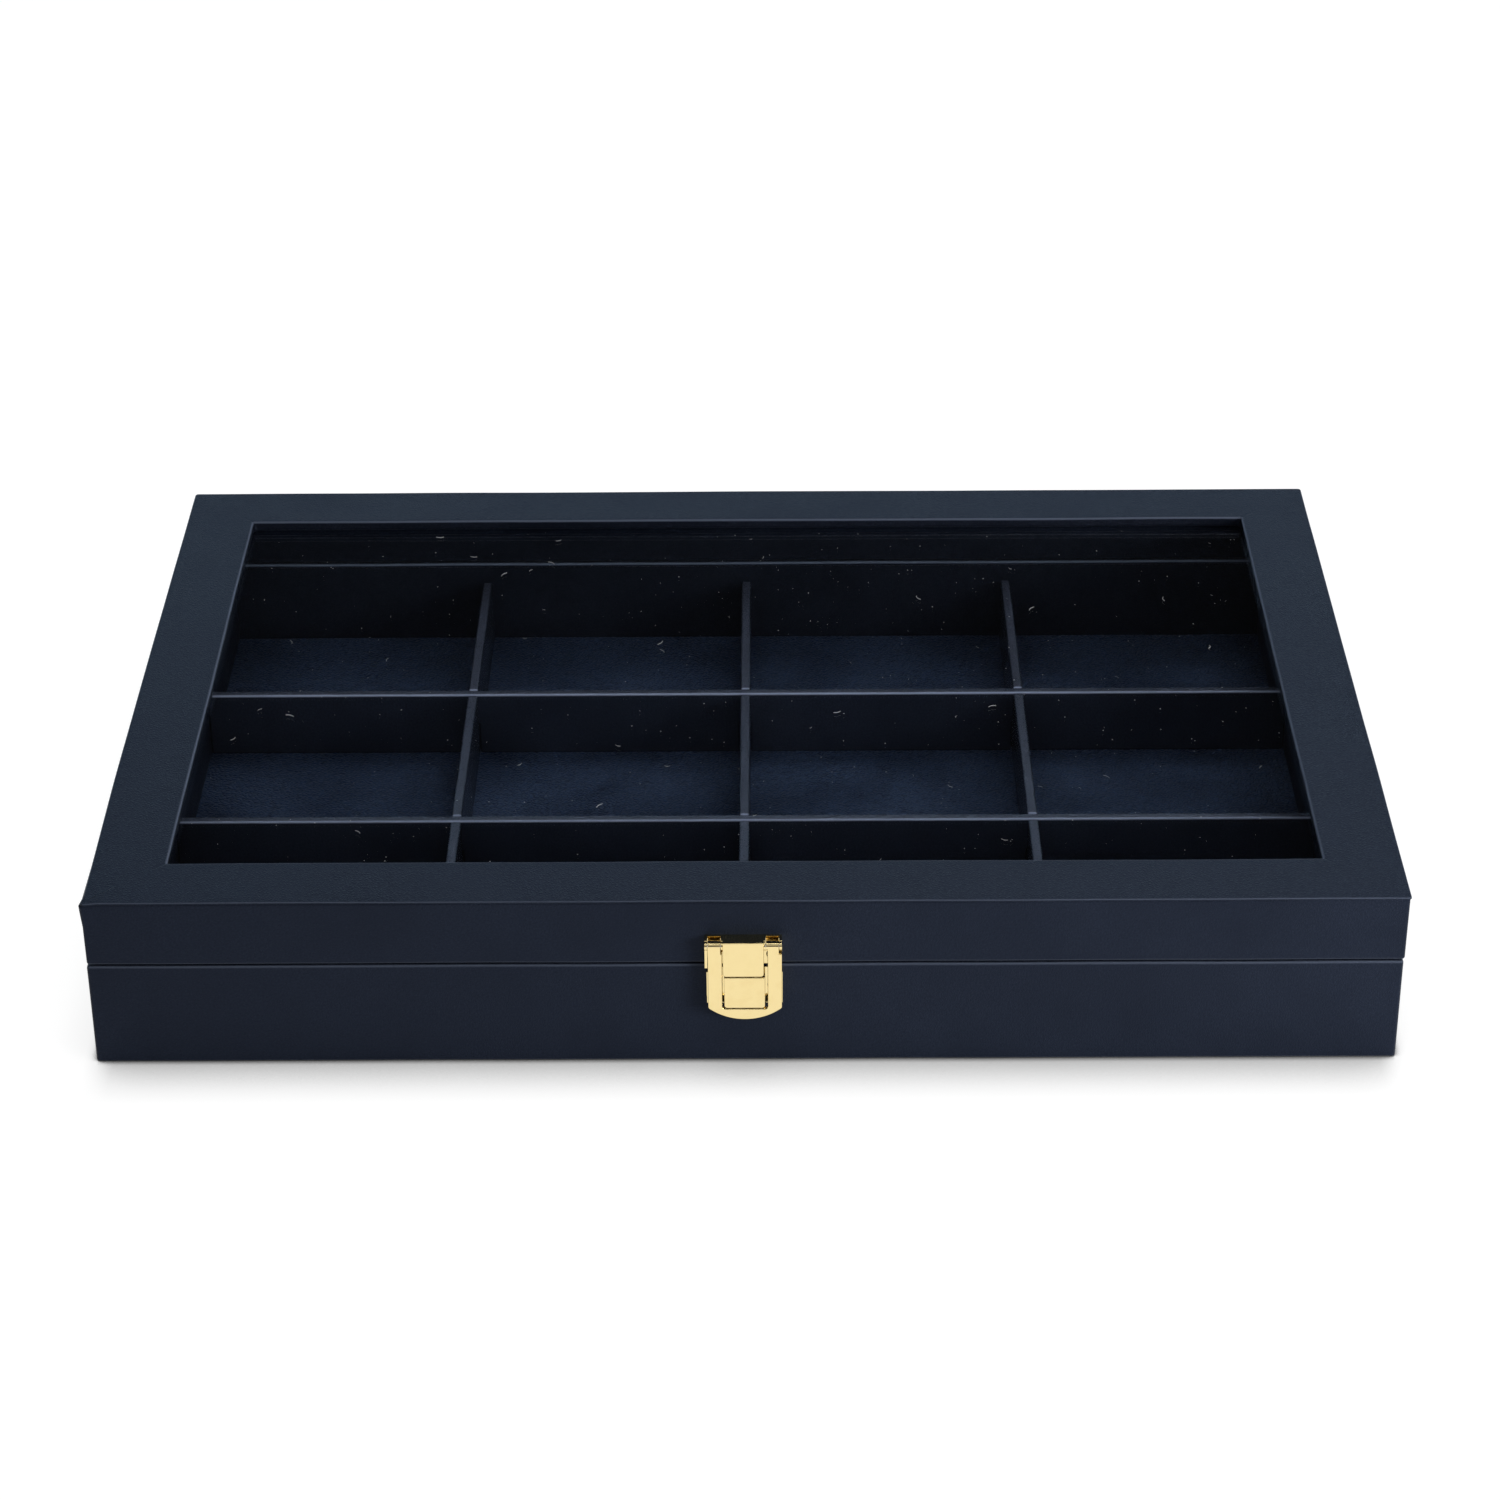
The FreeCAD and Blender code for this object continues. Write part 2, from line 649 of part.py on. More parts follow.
def hasp():
    """The U-shaped frame, with a knuckle on top of each arm."""
    left, right = about("hasp_shift", "(plate_width - hasp_narrower)")
    inner_left, inner_right = f"({left} + arm_width)", f"({right} - arm_width)"
    bar_top = f"({catch_low} - catch_play)"
    side_low = f"({bar_top} - bar_height + bar_sag)"
    plate_left, plate_right = about("(-plate_shift)", "plate_width")
    block_left, block_right = about("(-plate_shift)", block_width)
    in_ear = "(ear_thick + latch_side_play)"
    by_block = "(inner_ear + latch_side_play)"
    knuckles = {
        "left": (f"({plate_left} + {in_ear})", f"({block_left} - {by_block})"),
        "right": (f"({block_right} + {by_block})", f"({plate_right} - {in_ear})"),
    }
    body = new_body("hasp")
    frame = new_sketch(body, "hasp_frame", "XZ_Plane", f"-{depth('latch_stand - hasp_sheet')}")
    corners = [
        (left, side_low),
        (right, side_low),
        (right, shoulder_z),
        (inner_right, shoulder_z),
        (inner_right, bar_top),
        (inner_left, bar_top),
        (inner_left, shoulder_z),
        (left, shoulder_z),
    ]
    outline(frame, corners, bow=(0, "bar_sag"))
    sheet = pad(body, frame, "hasp_sheet")
    side_z, bar_z, sides = value(side_low), value(bar_top), (value(left), value(right))
    insides = (value(inner_left), value(inner_right))

    def corner(box):
        across_sheet = near(box.XLength, 0) and near(box.ZLength, 0)
        outer = near(box.ZMin, side_z) and any(near(box.XMin, side) for side in sides)
        inner = near(box.ZMin, bar_z) and any(near(box.XMin, side) for side in insides)
        return across_sheet and (outer or inner)

    turned = soften(body, sheet, "hasp_corners", "hasp_corner", corner)
    soften(body, turned, "hasp_edges", "latch_edge", at_front(latch_front))
    necks = new_sketch(body, "hasp_necks", "XZ_Plane", f"-{depth('latch_stand - hasp_sheet')}")
    neck_low = f"({shoulder_z} - arm_shoulder)"
    rectangle(necks, knuckles["left"], (neck_low, latch_pin_z))
    rectangle(necks, (inner_right, knuckles["right"][1]), (neck_low, latch_pin_z))
    pad(body, necks, "hasp_sheet")
    for side, (low, high) in knuckles.items():
        roll = new_sketch(body, f"hasp_knuckle_{side}", "YZ_Plane", low)
        ring(roll, latch_pin_y, latch_pin_z, knuckle)
        pad(body, roll, f"{high} - ({low})")
    bore = new_sketch(body, "hasp_bore", "YZ_Plane", "0")
    ring(bore, latch_pin_y, latch_pin_z, "(latch_pin_radius + latch_bore_play)")
    pocket(body, bore)
    keep(body, "latch_hasp")


def latch():
    """All of the latch. Returns the screws that enter the lid and the tray."""
    plate_screws = screws(
        "latch_plate_screws",
        [(f"(-plate_shift {sign} {wing})", f"({latch_top} - latch_screw_drop)") for sign in "-+"],
        (depth("latch_sheet + latch_head_height"), depth("latch_sheet")),
        (depth("latch_sheet"), depth("latch_sheet - latch_screw_length")),
        "latch_head_radius",
        "latch_screw_radius",
    )
    catch_screws = screws(
        "latch_catch_screws",
        [(f"({sign} {wing})", "(base_height - plate_margin - latch_screw_drop)") for sign in "-+"],
        (depth("latch_sheet - base_inset + latch_head_height"), catch_sheet_front),
        (catch_sheet_front, depth("latch_sheet - base_inset - latch_screw_length")),
        "latch_head_radius",
        "latch_screw_radius",
    )
    pin = rod_across(
        "latch_axle", about("(-plate_shift)", "plate_width"), latch_pin_y, latch_pin_z, "latch_pin_radius"
    )
    keep(pin, "latch_pin")
    latch_plate(pin, plate_screws)
    latch_catch(catch_screws)
    hasp()
    return plate_screws, catch_screws


# Hinges
barrel = "(hinge_pin_radius + hinge_bore_play + hinge_roll)"
clear_radius = f"({barrel} + hinge_room)"
hinge_y = f"({lid_y} + {clear_radius})"
hinge_z = "(base_height + seam_gap / 2)"
base_leaf_front = f"({base_y} + leaf_sheet)"
lid_leaf_front = f"({lid_y} + leaf_sheet)"


def leaf_plate(name, x, y, z):
    """A flat leaf with its two far corners rounded."""
    far = value(z[0]) if value(z[1]) <= value(hinge_z) else value(z[1])
    solid = block(name, x, y, z)

    def far_corner(box):
        return near(box.ZMin, far) and near(box.ZMax, far) and near(box.XLength, 0)

    return rounded(f"{name}_cornered", solid, (far_corner, "leaf_corner"))


def base_leaf(side, x, lid_knuckle, pin, fixings):
    """The leaf on the tray, with the two outer knuckles, which grip the pin."""
    name = f"hinge_{side}_base"
    gap = (f"({lid_knuckle[0]} - hinge_room)", f"({lid_knuckle[1]} + hinge_room)")
    leaf_z = (f"({hinge_z} - leaf_height)", hinge_z)
    plate = leaf_plate(f"{name}_plate", x, (base_y, base_leaf_front), leaf_z)
    notch_z = (f"({hinge_z} - {clear_radius})", hinge_z)
    notch = block(f"{name}_notch", gap, (base_y, hinge_y), notch_z)
    pieces = [
        cut(f"{name}_notched", plate, notch),
        rod_across(f"{name}_knuckle_1", (x[0], gap[0]), hinge_y, hinge_z, barrel),
        rod_across(f"{name}_knuckle_2", (gap[1], x[1]), hinge_y, hinge_z, barrel),
    ]
    drilled = cut(f"{name}_bored", join(f"{name}_whole", pieces), pin)
    keep(cut(f"{name}_finished", drilled, fixings), f"hinge_{side}_base_leaf")


def lid_leaf(side, x, own_knuckle, fixings):
    """The leaf on the lid, with the middle knuckle, which turns on the pin, and its stop lug."""
    name = f"hinge_{side}_lid"
    leaf_z = (hinge_z, f"({hinge_z} + leaf_height)")
    plate = leaf_plate(f"{name}_plate", x, (lid_y, lid_leaf_front), leaf_z)
    notch_z = (hinge_z, f"({hinge_z} + {clear_radius})")
    notches = [
        block(f"{name}_notch_1", (x[0], own_knuckle[0]), (lid_y, hinge_y), notch_z),
        block(f"{name}_notch_2", (own_knuckle[1], x[1]), (lid_y, hinge_y), notch_z),
    ]
    # the lug is drawn as it lies on the base leaf with the lid open, then turned back to the closed lid
    lug_back = f"({base_leaf_front} + stop_play - {hinge_y})"
    lug_y = (lug_back, f"({lug_back} + stop_thick)")
    lug = block(f"{name}_lug_open", own_knuckle, lug_y, ("(-stop_reach)", "0"))
    turned = group(f"{name}_lug", [lug])
    turned.Placement.Rotation = FreeCAD.Rotation(FreeCAD.Vector(1, 0, 0), value("lid_opening"))
    bind(turned, Placement__Base__y=hinge_y, Placement__Base__z=hinge_z)
    bind(turned, Placement__Rotation__Angle="lid_opening")
    pieces = [
        cut(f"{name}_notched", plate, join(f"{name}_notches", notches)),
        rod_across(f"{name}_knuckle", own_knuckle, hinge_y, hinge_z, barrel),
        turned,
    ]
    bore_radius = "(hinge_pin_radius + hinge_bore_play)"
    bore = rod_across(f"{name}_bore", own_knuckle, hinge_y, hinge_z, bore_radius)
    bored = cut(f"{name}_bored", join(f"{name}_whole", pieces), bore)
    keep(cut(f"{name}_finished", bored, fixings), f"hinge_{side}_lid_leaf")


def hinge_screws(label, places, leaf_back, leaf_front, z):
    points = [(f"({place} {sign} hinge_screw_spacing / 2)", z) for place in places for sign in "-+"]
    return screws(
        label,
        points,
        (leaf_front, f"({leaf_front} + hinge_head_height)"),
        (f"({leaf_front} - hinge_screw_length)", leaf_front),
        "hinge_head_radius",
        "hinge_screw_radius",
    )


def hinges():
    """Both hinges. Returns the screws that enter the lid and the tray."""
    reach = "(lid_length / 2 - hinge_from_side)"
    places = {"left": f"(-{reach})", "right": reach}
    middles = list(places.values())
    lid_screws = hinge_screws(
        "hinge_lid_screws", middles, lid_y, lid_leaf_front, f"({hinge_z} + hinge_screw_drop)"
    )
    base_screws = hinge_screws(
        "hinge_base_screws", middles, base_y, base_leaf_front, f"({hinge_z} - hinge_screw_drop)"
    )
    for side, middle in places.items():
        x = about(middle, "hinge_length")
        lid_knuckle = about(middle, "lid_knuckle_length")
        pin = rod_across(f"hinge_{side}_axle", x, hinge_y, hinge_z, "hinge_pin_radius")
        keep(pin, f"hinge_{side}_pin")
        base_leaf(side, x, lid_knuckle, pin, base_screws)
        lid_leaf(side, x, lid_knuckle, lid_screws)
    return lid_screws, base_screws


def check_document():
    """Stops if anything in the document failed, or a sub-part has no sound shape."""
    for item in doc.Objects:
        if "Invalid" in item.State or "Error" in item.State:
            raise RuntimeError(f"{item.Name} failed: {item.State}")
    for solid in subparts:
        if solid.Shape.isNull() or not solid.Shape.isValid() or not solid.Shape.Solids:
            raise RuntimeError(f"{solid.Label} has no sound shape")


latch_lid_screws, latch_base_screws = latch()
hinge_lid_fixings, hinge_base_fixings = hinges()
wall_frame(
    "base",
    f"({base_x} - cover_thick)",
    f"({base_y} - cover_thick)",
    (wall_low, wall_high),
    {"front": latch_base_screws, "back": hinge_base_fixings},
)
wall_frame(
    "lid",
    f"({lid_x} - cover_thick)",
    f"({lid_y} - cover_thick)",
    (f"({lid_low} + cover_thick)", lid_roof),
    {"front": latch_lid_screws, "back": hinge_lid_fixings},
)
bottom_pieces()
wall_linings()
top_frame()
glazing()
divider_grid()
base_cover([latch_base_screws, hinge_base_fixings])
lid_cover([latch_lid_screws, hinge_lid_fixings])

doc.recompute()
check_document()
os.makedirs("parts", exist_ok=True)
for solid in subparts:
    solid.Shape.exportStep(f"parts/{solid.Label}.step")
    box = solid.Shape.BoundBox
    print(f"{solid.Label:24} {len(solid.Shape.Solids)} solids {solid.Shape.Volume:12.1f} mm3", box)
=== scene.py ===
import math

import bmesh
import bpy
from mathutils import Matrix, Vector, noise


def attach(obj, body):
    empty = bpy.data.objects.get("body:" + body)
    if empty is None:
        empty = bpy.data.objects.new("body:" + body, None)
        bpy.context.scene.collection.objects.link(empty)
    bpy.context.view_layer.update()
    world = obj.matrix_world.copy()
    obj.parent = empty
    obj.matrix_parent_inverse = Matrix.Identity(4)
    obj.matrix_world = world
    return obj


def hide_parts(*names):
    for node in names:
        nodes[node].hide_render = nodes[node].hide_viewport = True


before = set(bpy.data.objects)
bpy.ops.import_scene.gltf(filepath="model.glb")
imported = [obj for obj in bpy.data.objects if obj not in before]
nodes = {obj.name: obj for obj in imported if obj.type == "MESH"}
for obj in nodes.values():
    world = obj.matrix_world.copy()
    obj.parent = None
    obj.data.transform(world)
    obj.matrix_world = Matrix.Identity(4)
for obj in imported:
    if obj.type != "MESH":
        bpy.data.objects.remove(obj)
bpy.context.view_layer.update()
mm = 0.001
fullTurn = 6.283  # radians
noise.seed_set(7)  # without it the ripples change from run to run


# Nodes and meshes
def addNode(tree, kind, inputs=None, **settings):
    node = tree.nodes.new(kind)
    for name, setting in settings.items():
        setattr(node, name, setting)
    for key, given in (inputs or {}).items():
        if isinstance(given, bpy.types.NodeSocket):
            tree.links.new(given, node.inputs[key])
        else:
            node.inputs[key].default_value = given
    return node


def noiseOf(tree, place, scale, detail=2.0):
    inputs = {"Vector": place, "Scale": scale, "Detail": detail}
    return addNode(tree, "ShaderNodeTexNoise", inputs).outputs[0]


def mapped(tree, socket, fromRange, toRange):
    inputs = {0: socket, 1: fromRange[0], 2: fromRange[1], 3: toRange[0], 4: toRange[1]}
    return addNode(tree, "ShaderNodeMapRange", inputs).outputs[0]


def mixed(tree, amount, first, second):
    return addNode(tree, "ShaderNodeMix", {0: amount, 6: first, 7: second}, data_type="RGBA").outputs[2]


def multiplied(tree, first, second):
    return addNode(tree, "ShaderNodeMath", {0: first, 1: second}, operation="MULTIPLY").outputs[0]


def bumped(tree, height, distance, under=None):
    inputs = {"Height": height, "Distance": distance, "Strength": 1.0}
    if under:
        inputs["Normal"] = under
    return addNode(tree, "ShaderNodeBump", inputs).outputs[0]


def startMaterial(name, settings):
    material = bpy.data.materials.new(name)
    material.use_nodes = True
    tree = material.node_tree
    shader = tree.nodes["Principled BSDF"]
    for key, setting in settings.items():
        shader.inputs[key].default_value = setting
    place = addNode(tree, "ShaderNodeTexCoord").outputs["Object"]
    return material, tree, shader, place


def plug(tree, shader, **sockets):
    names = {"colour": "Base Color", "roughness": "Roughness", "normal": "Normal"}
    for key, socket in sockets.items():
        tree.links.new(socket, shader.inputs[names[key]])


def newPiece(name, mesh, material):
    piece = bpy.data.objects.new(name, mesh)
    bpy.context.scene.collection.objects.link(piece)
    piece.data.materials.clear()
    piece.data.materials.append(material)
    return piece


# Turns a piece with its modifiers into a plain mesh and hangs it on its body
def settle(piece, body, replaced, slot):
    evaluated = piece.evaluated_get(bpy.context.evaluated_depsgraph_get())
    finished = bpy.data.meshes.new_from_object(evaluated)
    piece.modifiers.clear()
    piece.data = finished
    finished.name = piece.name
    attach(piece, body)
    if replaced:
        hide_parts(*replaced)
    return piece


def smoothAll(mesh):
    for face in mesh.polygons:
        face.use_smooth = True


def weighNormals(piece):
    piece.modifiers.new("normals", "WEIGHTED_NORMAL").keep_sharp = True


# Stores how much painted highlight each point gets on a rounded edge, for the material to read
def markPaintedHighlights(mesh, amounts):
    mesh.attributes.new("edge", "FLOAT", "POINT").data.foreach_set("value", amounts)


# A small shift that varies smoothly from place to place
def ripple(point, height, length):
    return noise.noise_vector(point / length) * height


# Leatherette: one recipe for the outside and one for each part of the lining. Each edge colour is a painted
# highlight, mixed in along rounded edges
leatherLooks = {
    "leather": {
        "colour": (0.0086, 0.0119, 0.0215, 1), "paler": (0.0240, 0.0318, 0.053, 1),
        "edge": (0.110, 0.132, 0.185, 1),
        "grain": 0.70 * mm, "stretch": 1.0, "grainDepth": 0.05 * mm, "patch": 22 * mm, "wave": 0.10 * mm,
        "contrast": 0.75, "mottle": (-0.12, 0.52), "roughness": (0.36, 0.46), "specular": 0.13,
    },
    "floorLeather": {
        "colour": (0.0087, 0.0157, 0.0353, 1), "paler": (0.0414, 0.0627, 0.121, 1),
        "edge": (0.020, 0.032, 0.069, 1),
        "grain": 0.85 * mm, "stretch": 1.6, "grainDepth": 0.30 * mm, "patch": 30 * mm, "wave": 0.15 * mm,
        "contrast": 0.5, "mottle": (0.1, 0.34), "roughness": (0.30, 0.40), "specular": 0.2,
    },
    # A darker copy of the leather: painted shade for the walls and faces inside the case
    "wallLeather": {
        "colour": (0.0035, 0.0049, 0.0095, 1), "paler": (0.0096, 0.0121, 0.0205, 1),
        "edge": (0.016, 0.020, 0.032, 1),
        "grain": 0.75 * mm, "stretch": 1.0, "grainDepth": 0.08 * mm, "patch": 30 * mm, "wave": 0.10 * mm,
        "contrast": 0.7, "mottle": (0.0, 0.44), "roughness": (0.30, 0.40), "specular": 0.13,
    },
    "dividerLeather": {
        "colour": (0.0060, 0.0080, 0.0150, 1), "paler": (0.0165, 0.0210, 0.0350, 1),
        "edge": (0.27, 0.30, 0.425, 1),
        "grain": 0.65 * mm, "stretch": 1.0, "grainDepth": 0.05 * mm, "patch": 30 * mm, "wave": 0.02 * mm,
        "contrast": 0.8, "mottle": (0.0, 0.44), "roughness": (0.18, 0.26), "specular": 0.3,
    },
}
leatherSheen = (0.55, 0.66, 1.0, 1)
# How the pebbles, the fibres and the patches of the leatherette relate to its grain and patch sizes
leatherPattern = {
    "warpScale": 0.6, "warpReach": 0.5, "pebbleGap": 0.32, "fibreScale": 1.1, "fibreDepth": 0.6,
    "waveScale": 0.3, "patchRange": (0.3, 0.7),
}


def leatherMaterial(name, look):
    pattern, grain = leatherPattern, look["grain"]
    settings = {"Specular IOR Level": look["specular"], "Specular Tint": leatherSheen}
    material, tree, shader, place = startMaterial(name, settings)
    patches = noiseOf(tree, place, 1 / look["patch"], 3.0)
    stretch = (1 / look["stretch"], 1.0, 1.0)
    place = addNode(tree, "ShaderNodeMapping", {"Vector": place, "Scale": stretch}).outputs[0]
    warping = {"Vector": place, "Scale": pattern["warpScale"] / grain, "Detail": 1.0}
    warp = addNode(tree, "ShaderNodeTexNoise", warping).outputs["Color"]
    reach = {0: warp, "Scale": pattern["warpReach"] * grain}
    spread = addNode(tree, "ShaderNodeVectorMath", reach, operation="SCALE").outputs[0]
    bentPlace = addNode(tree, "ShaderNodeVectorMath", {0: place, 1: spread}).outputs[0]
    spacing = {"Vector": bentPlace, "Scale": 1 / grain}
    cells = addNode(tree, "ShaderNodeTexVoronoi", spacing, feature="DISTANCE_TO_EDGE").outputs[0]
    pebbles = mapped(tree, cells, (0.0, pattern["pebbleGap"]), (0.0, 1.0))
    fibres = noiseOf(tree, place, pattern["fibreScale"] / grain, 1.0)
    mottled = multiplied(tree, patches, fibres)
    tint = multiplied(tree, mottled, mapped(tree, pebbles, (0, 1), (look["contrast"], 1.0)))
    plain = mixed(tree, mapped(tree, tint, look["mottle"], (0.0, 1.0)), look["colour"], look["paler"])
    # The stored edge amount mixes in the edge colour: painted highlight on rounded edges and painted light on divider
    # tops
    wearAndHighlight = addNode(tree, "ShaderNodeAttribute", attribute_name="edge").outputs["Fac"]
    plug(
        tree, shader,
        colour=mixed(tree, wearAndHighlight, plain, look["edge"]),
        roughness=mapped(tree, patches, pattern["patchRange"], look["roughness"]),
    )
    waves = noiseOf(tree, place, pattern["waveScale"] / look["patch"], 1.0)
    normal = bumped(tree, pebbles, look["grainDepth"], bumped(tree, waves, look["wave"]))
    plug(tree, shader, normal=bumped(tree, fibres, look["grainDepth"] * pattern["fibreDepth"], normal))
    return material


leathers = {name: leatherMaterial(name, look) for name, look in leatherLooks.items()}
print("leatherette ready")

# Metals
metalLooks = {
    "gold": {
        "colour": (0.885, 0.715, 0.362, 1), "wearAndHighlight": (0.868, 0.688, 0.336, 1),
        "roughness": (0.09, 0.17), "smudge": 3 * mm,
    },
    "brass": {
        "colour": (0.80, 0.58, 0.24, 1), "wearAndHighlight": (0.66, 0.46, 0.17, 1),
        "roughness": (0.16, 0.30), "smudge": 4 * mm,
    },
    "steel": {
        "colour": (0.62, 0.61, 0.59, 1), "wearAndHighlight": (0.45, 0.44, 0.42, 1),
        "roughness": (0.20, 0.34), "smudge": 1 * mm,
    },
}
metalFinish = {
    "scratchScale": (250.0, 250.0, 2500.0), "scratchDepth": 0.0006 * mm, "smudgeDepth": 0.006 * mm,
    "wornRange": (0.45, 0.75), "roughRange": (0.35, 0.75),
}


def metalMaterial(name, look):
    material, tree, shader, place = startMaterial(name, {"Metallic": 1.0})
    smudges = noiseOf(tree, place, 1 / look["smudge"], 3.0)
    drawn = {"Vector": place, "Scale": metalFinish["scratchScale"]}
    stretched = addNode(tree, "ShaderNodeMapping", drawn).outputs[0]
    scratches = noiseOf(tree, stretched, 1.0, 2.0)
    wearAndHighlight = mapped(tree, smudges, metalFinish["wornRange"], (0.0, 1.0))
    smudged = bumped(tree, smudges, metalFinish["smudgeDepth"])
    plug(
        tree, shader,
        colour=mixed(tree, wearAndHighlight, look["colour"], look["wearAndHighlight"]),
        roughness=mapped(tree, smudges, metalFinish["roughRange"], look["roughness"]),
        normal=bumped(tree, scratches, metalFinish["scratchDepth"], smudged),
    )
    return material


metals = {name: metalMaterial(name, look) for name, look in metalLooks.items()}
print("metals ready")

# Pressed or felted fibres
fleckedLooks = {
    "fibreboard": {
        "colour": (0.19, 0.105, 0.052, 1), "flecks": (0.36, 0.22, 0.12, 1),
        "size": 0.8 * mm, "roughness": 0.85, "depth": 0.05 * mm,
    },
    "felt": {
        "colour": (0.006, 0.008, 0.014, 1), "flecks": (0.016, 0.020, 0.032, 1),
        "size": 0.5 * mm, "roughness": 0.98, "depth": 0.12 * mm,
    },
    "lint": {
        "colour": (0.5, 0.52, 0.55, 1), "flecks": (0.7, 0.7, 0.7, 1),
        "size": 0.3 * mm, "roughness": 0.9, "depth": 0.01 * mm,
    },
}
fleckPattern = {"stretch": (1.0, 0.45, 1.0), "broadScale": 0.05, "range": (0.15, 0.38), "specular": 0.2}


def fleckedMaterial(name, look):
    settings = {"Roughness": look["roughness"], "Specular IOR Level": fleckPattern["specular"]}
    material, tree, shader, place = startMaterial(name, settings)
    stretched = addNode(tree, "ShaderNodeMapping", {"Vector": place, "Scale": fleckPattern["stretch"]}).outputs[0]
    fine = noiseOf(tree, stretched, 1 / look["size"], 4.0)
    broad = noiseOf(tree, place, fleckPattern["broadScale"] / look["size"], 2.0)
    amount = mapped(tree, multiplied(tree, fine, broad), fleckPattern["range"], (0.0, 1.0))
    plug(tree, shader, colour=mixed(tree, amount, look["colour"], look["flecks"]))
    plug(tree, shader, normal=bumped(tree, fine, look["depth"]))
    return material


board, felt, lint = (fleckedMaterial(name, look) for name, look in fleckedLooks.items())
glassLook = {
    "colour": (0.97, 0.985, 0.98, 1), "index": 1.5, "shade": (0.84, 0.87, 0.87, 1),
    "filmScale": 30.0, "filmRange": (0.5, 0.9), "roughness": (0.0, 0.02),
}


# Clear for what it shades, so that the lining under it is lit as through real glass
def glassMaterial():
    settings = {"Transmission Weight": 1.0, "IOR": glassLook["index"], "Base Color": glassLook["colour"]}
    material, tree, shader, place = startMaterial("clearGlass", settings)
    film = noiseOf(tree, place, glassLook["filmScale"], 3.0)
    plug(tree, shader, roughness=mapped(tree, film, glassLook["filmRange"], glassLook["roughness"]))
    clear = addNode(tree, "ShaderNodeBsdfTransparent", {"Color": glassLook["shade"]}).outputs[0]
    shadowed = addNode(tree, "ShaderNodeLightPath").outputs["Is Shadow Ray"]
    both = addNode(tree, "ShaderNodeMixShader", {0: shadowed, 1: shader.outputs[0], 2: clear}).outputs[0]
    tree.links.new(both, tree.nodes["Material Output"].inputs["Surface"])
    return material


glass = glassMaterial()
print("materials ready")

# Wrapped covers, lofted along their outline from ring to ring
wrap = {
    "sheet": 0.4 * mm, "ripple": 0.13 * mm, "rippleLength": 38 * mm,
    # innerHighlight and outerHighlight scale the painted highlight on the inner and the outer rounded edges
    "innerHighlight": 1.0, "outerHighlight": 0.75, "innerBand": 1.0,
    "arcSteps": 5, "turnSteps": 4, "sidePieces": (58, 40), "crowding": 0.55,
    "leastRadius": 0.25, "innerSpread": 0.6, "gussetBand": 0.8,
}


def sign(amount):
    return (amount > 1e-9) - (amount < -1e-9)


# Rounds the corners of a profile of (half length, half depth, height, radius)
def turned(profile):
    steps = wrap["turnSteps"]
    rings = []
    for index, (halfX, halfY, z, radius) in enumerate(profile):
        if not radius:
            rings.append((halfX, halfY, z, 0.0))
            continue
        before, after = profile[index - 1], profile[index + 1]
        arrive = (sign(before[0] - halfX), sign(before[2] - z))
        leave = (sign(after[0] - halfX), sign(after[2] - z))
        for step in range(steps + 1):
            angle = step / steps * math.pi / 2
            kept, gone = radius * (1 - math.sin(angle)), radius * (1 - math.cos(angle))
            side = arrive[0] * kept + leave[0] * gone
            # Painted highlight, strongest halfway round the rounded edge
            wearAndHighlight = math.sin(2 * angle) ** 2
            rings.append((halfX + side, halfY + side, z + arrive[1] * kept + leave[1] * gone, wearAndHighlight))
    return rings


# Points round a rounded rectangle, counter-clockwise from above, with the outward direction of each
def levelLoop(halfX, halfY, z, radius):
    points = []
    corners = [(1, -1), (1, 1), (-1, 1), (-1, -1)]
    for index, (sideX, sideY) in enumerate(corners):
        centre = Vector((sideX * (halfX - radius), sideY * (halfY - radius), z))
        for step in range(wrap["arcSteps"] + 1):
            angle = math.radians(index * 90 - 90 + 90 * step / wrap["arcSteps"])
            out = Vector((math.cos(angle), math.sin(angle), 0))
            points.append((centre + out * radius, out))
        nextX, nextY = corners[(index + 1) % 4]
        far = Vector((nextX * (halfX - radius), nextY * (halfY - radius), z)) + out * radius
        near = points[-1][0]
        pieces = wrap["sidePieces"][1 if nextX == sideX else 0]
        for piece in range(1, pieces):
            along = piece / pieces
            along -= wrap["crowding"] * math.sin(2 * math.pi * along) / (2 * math.pi)
            points.append((near.lerp(far, along), out))
    return points


def loft(name, loops):
    count = len(loops[0])
    verts = [point for loop in loops for point, out in loop]
    faces = []
    for low in range(len(loops) - 1):
        for index in range(count):
            after = (index + 1) % count
            ring, nextRing = low * count, (low + 1) * count
            faces.append((ring + index, ring + after, nextRing + after, nextRing + index))
    mesh = bpy.data.meshes.new(name)
    mesh.from_pydata(verts, [], faces)
    smoothAll(mesh)
    return mesh


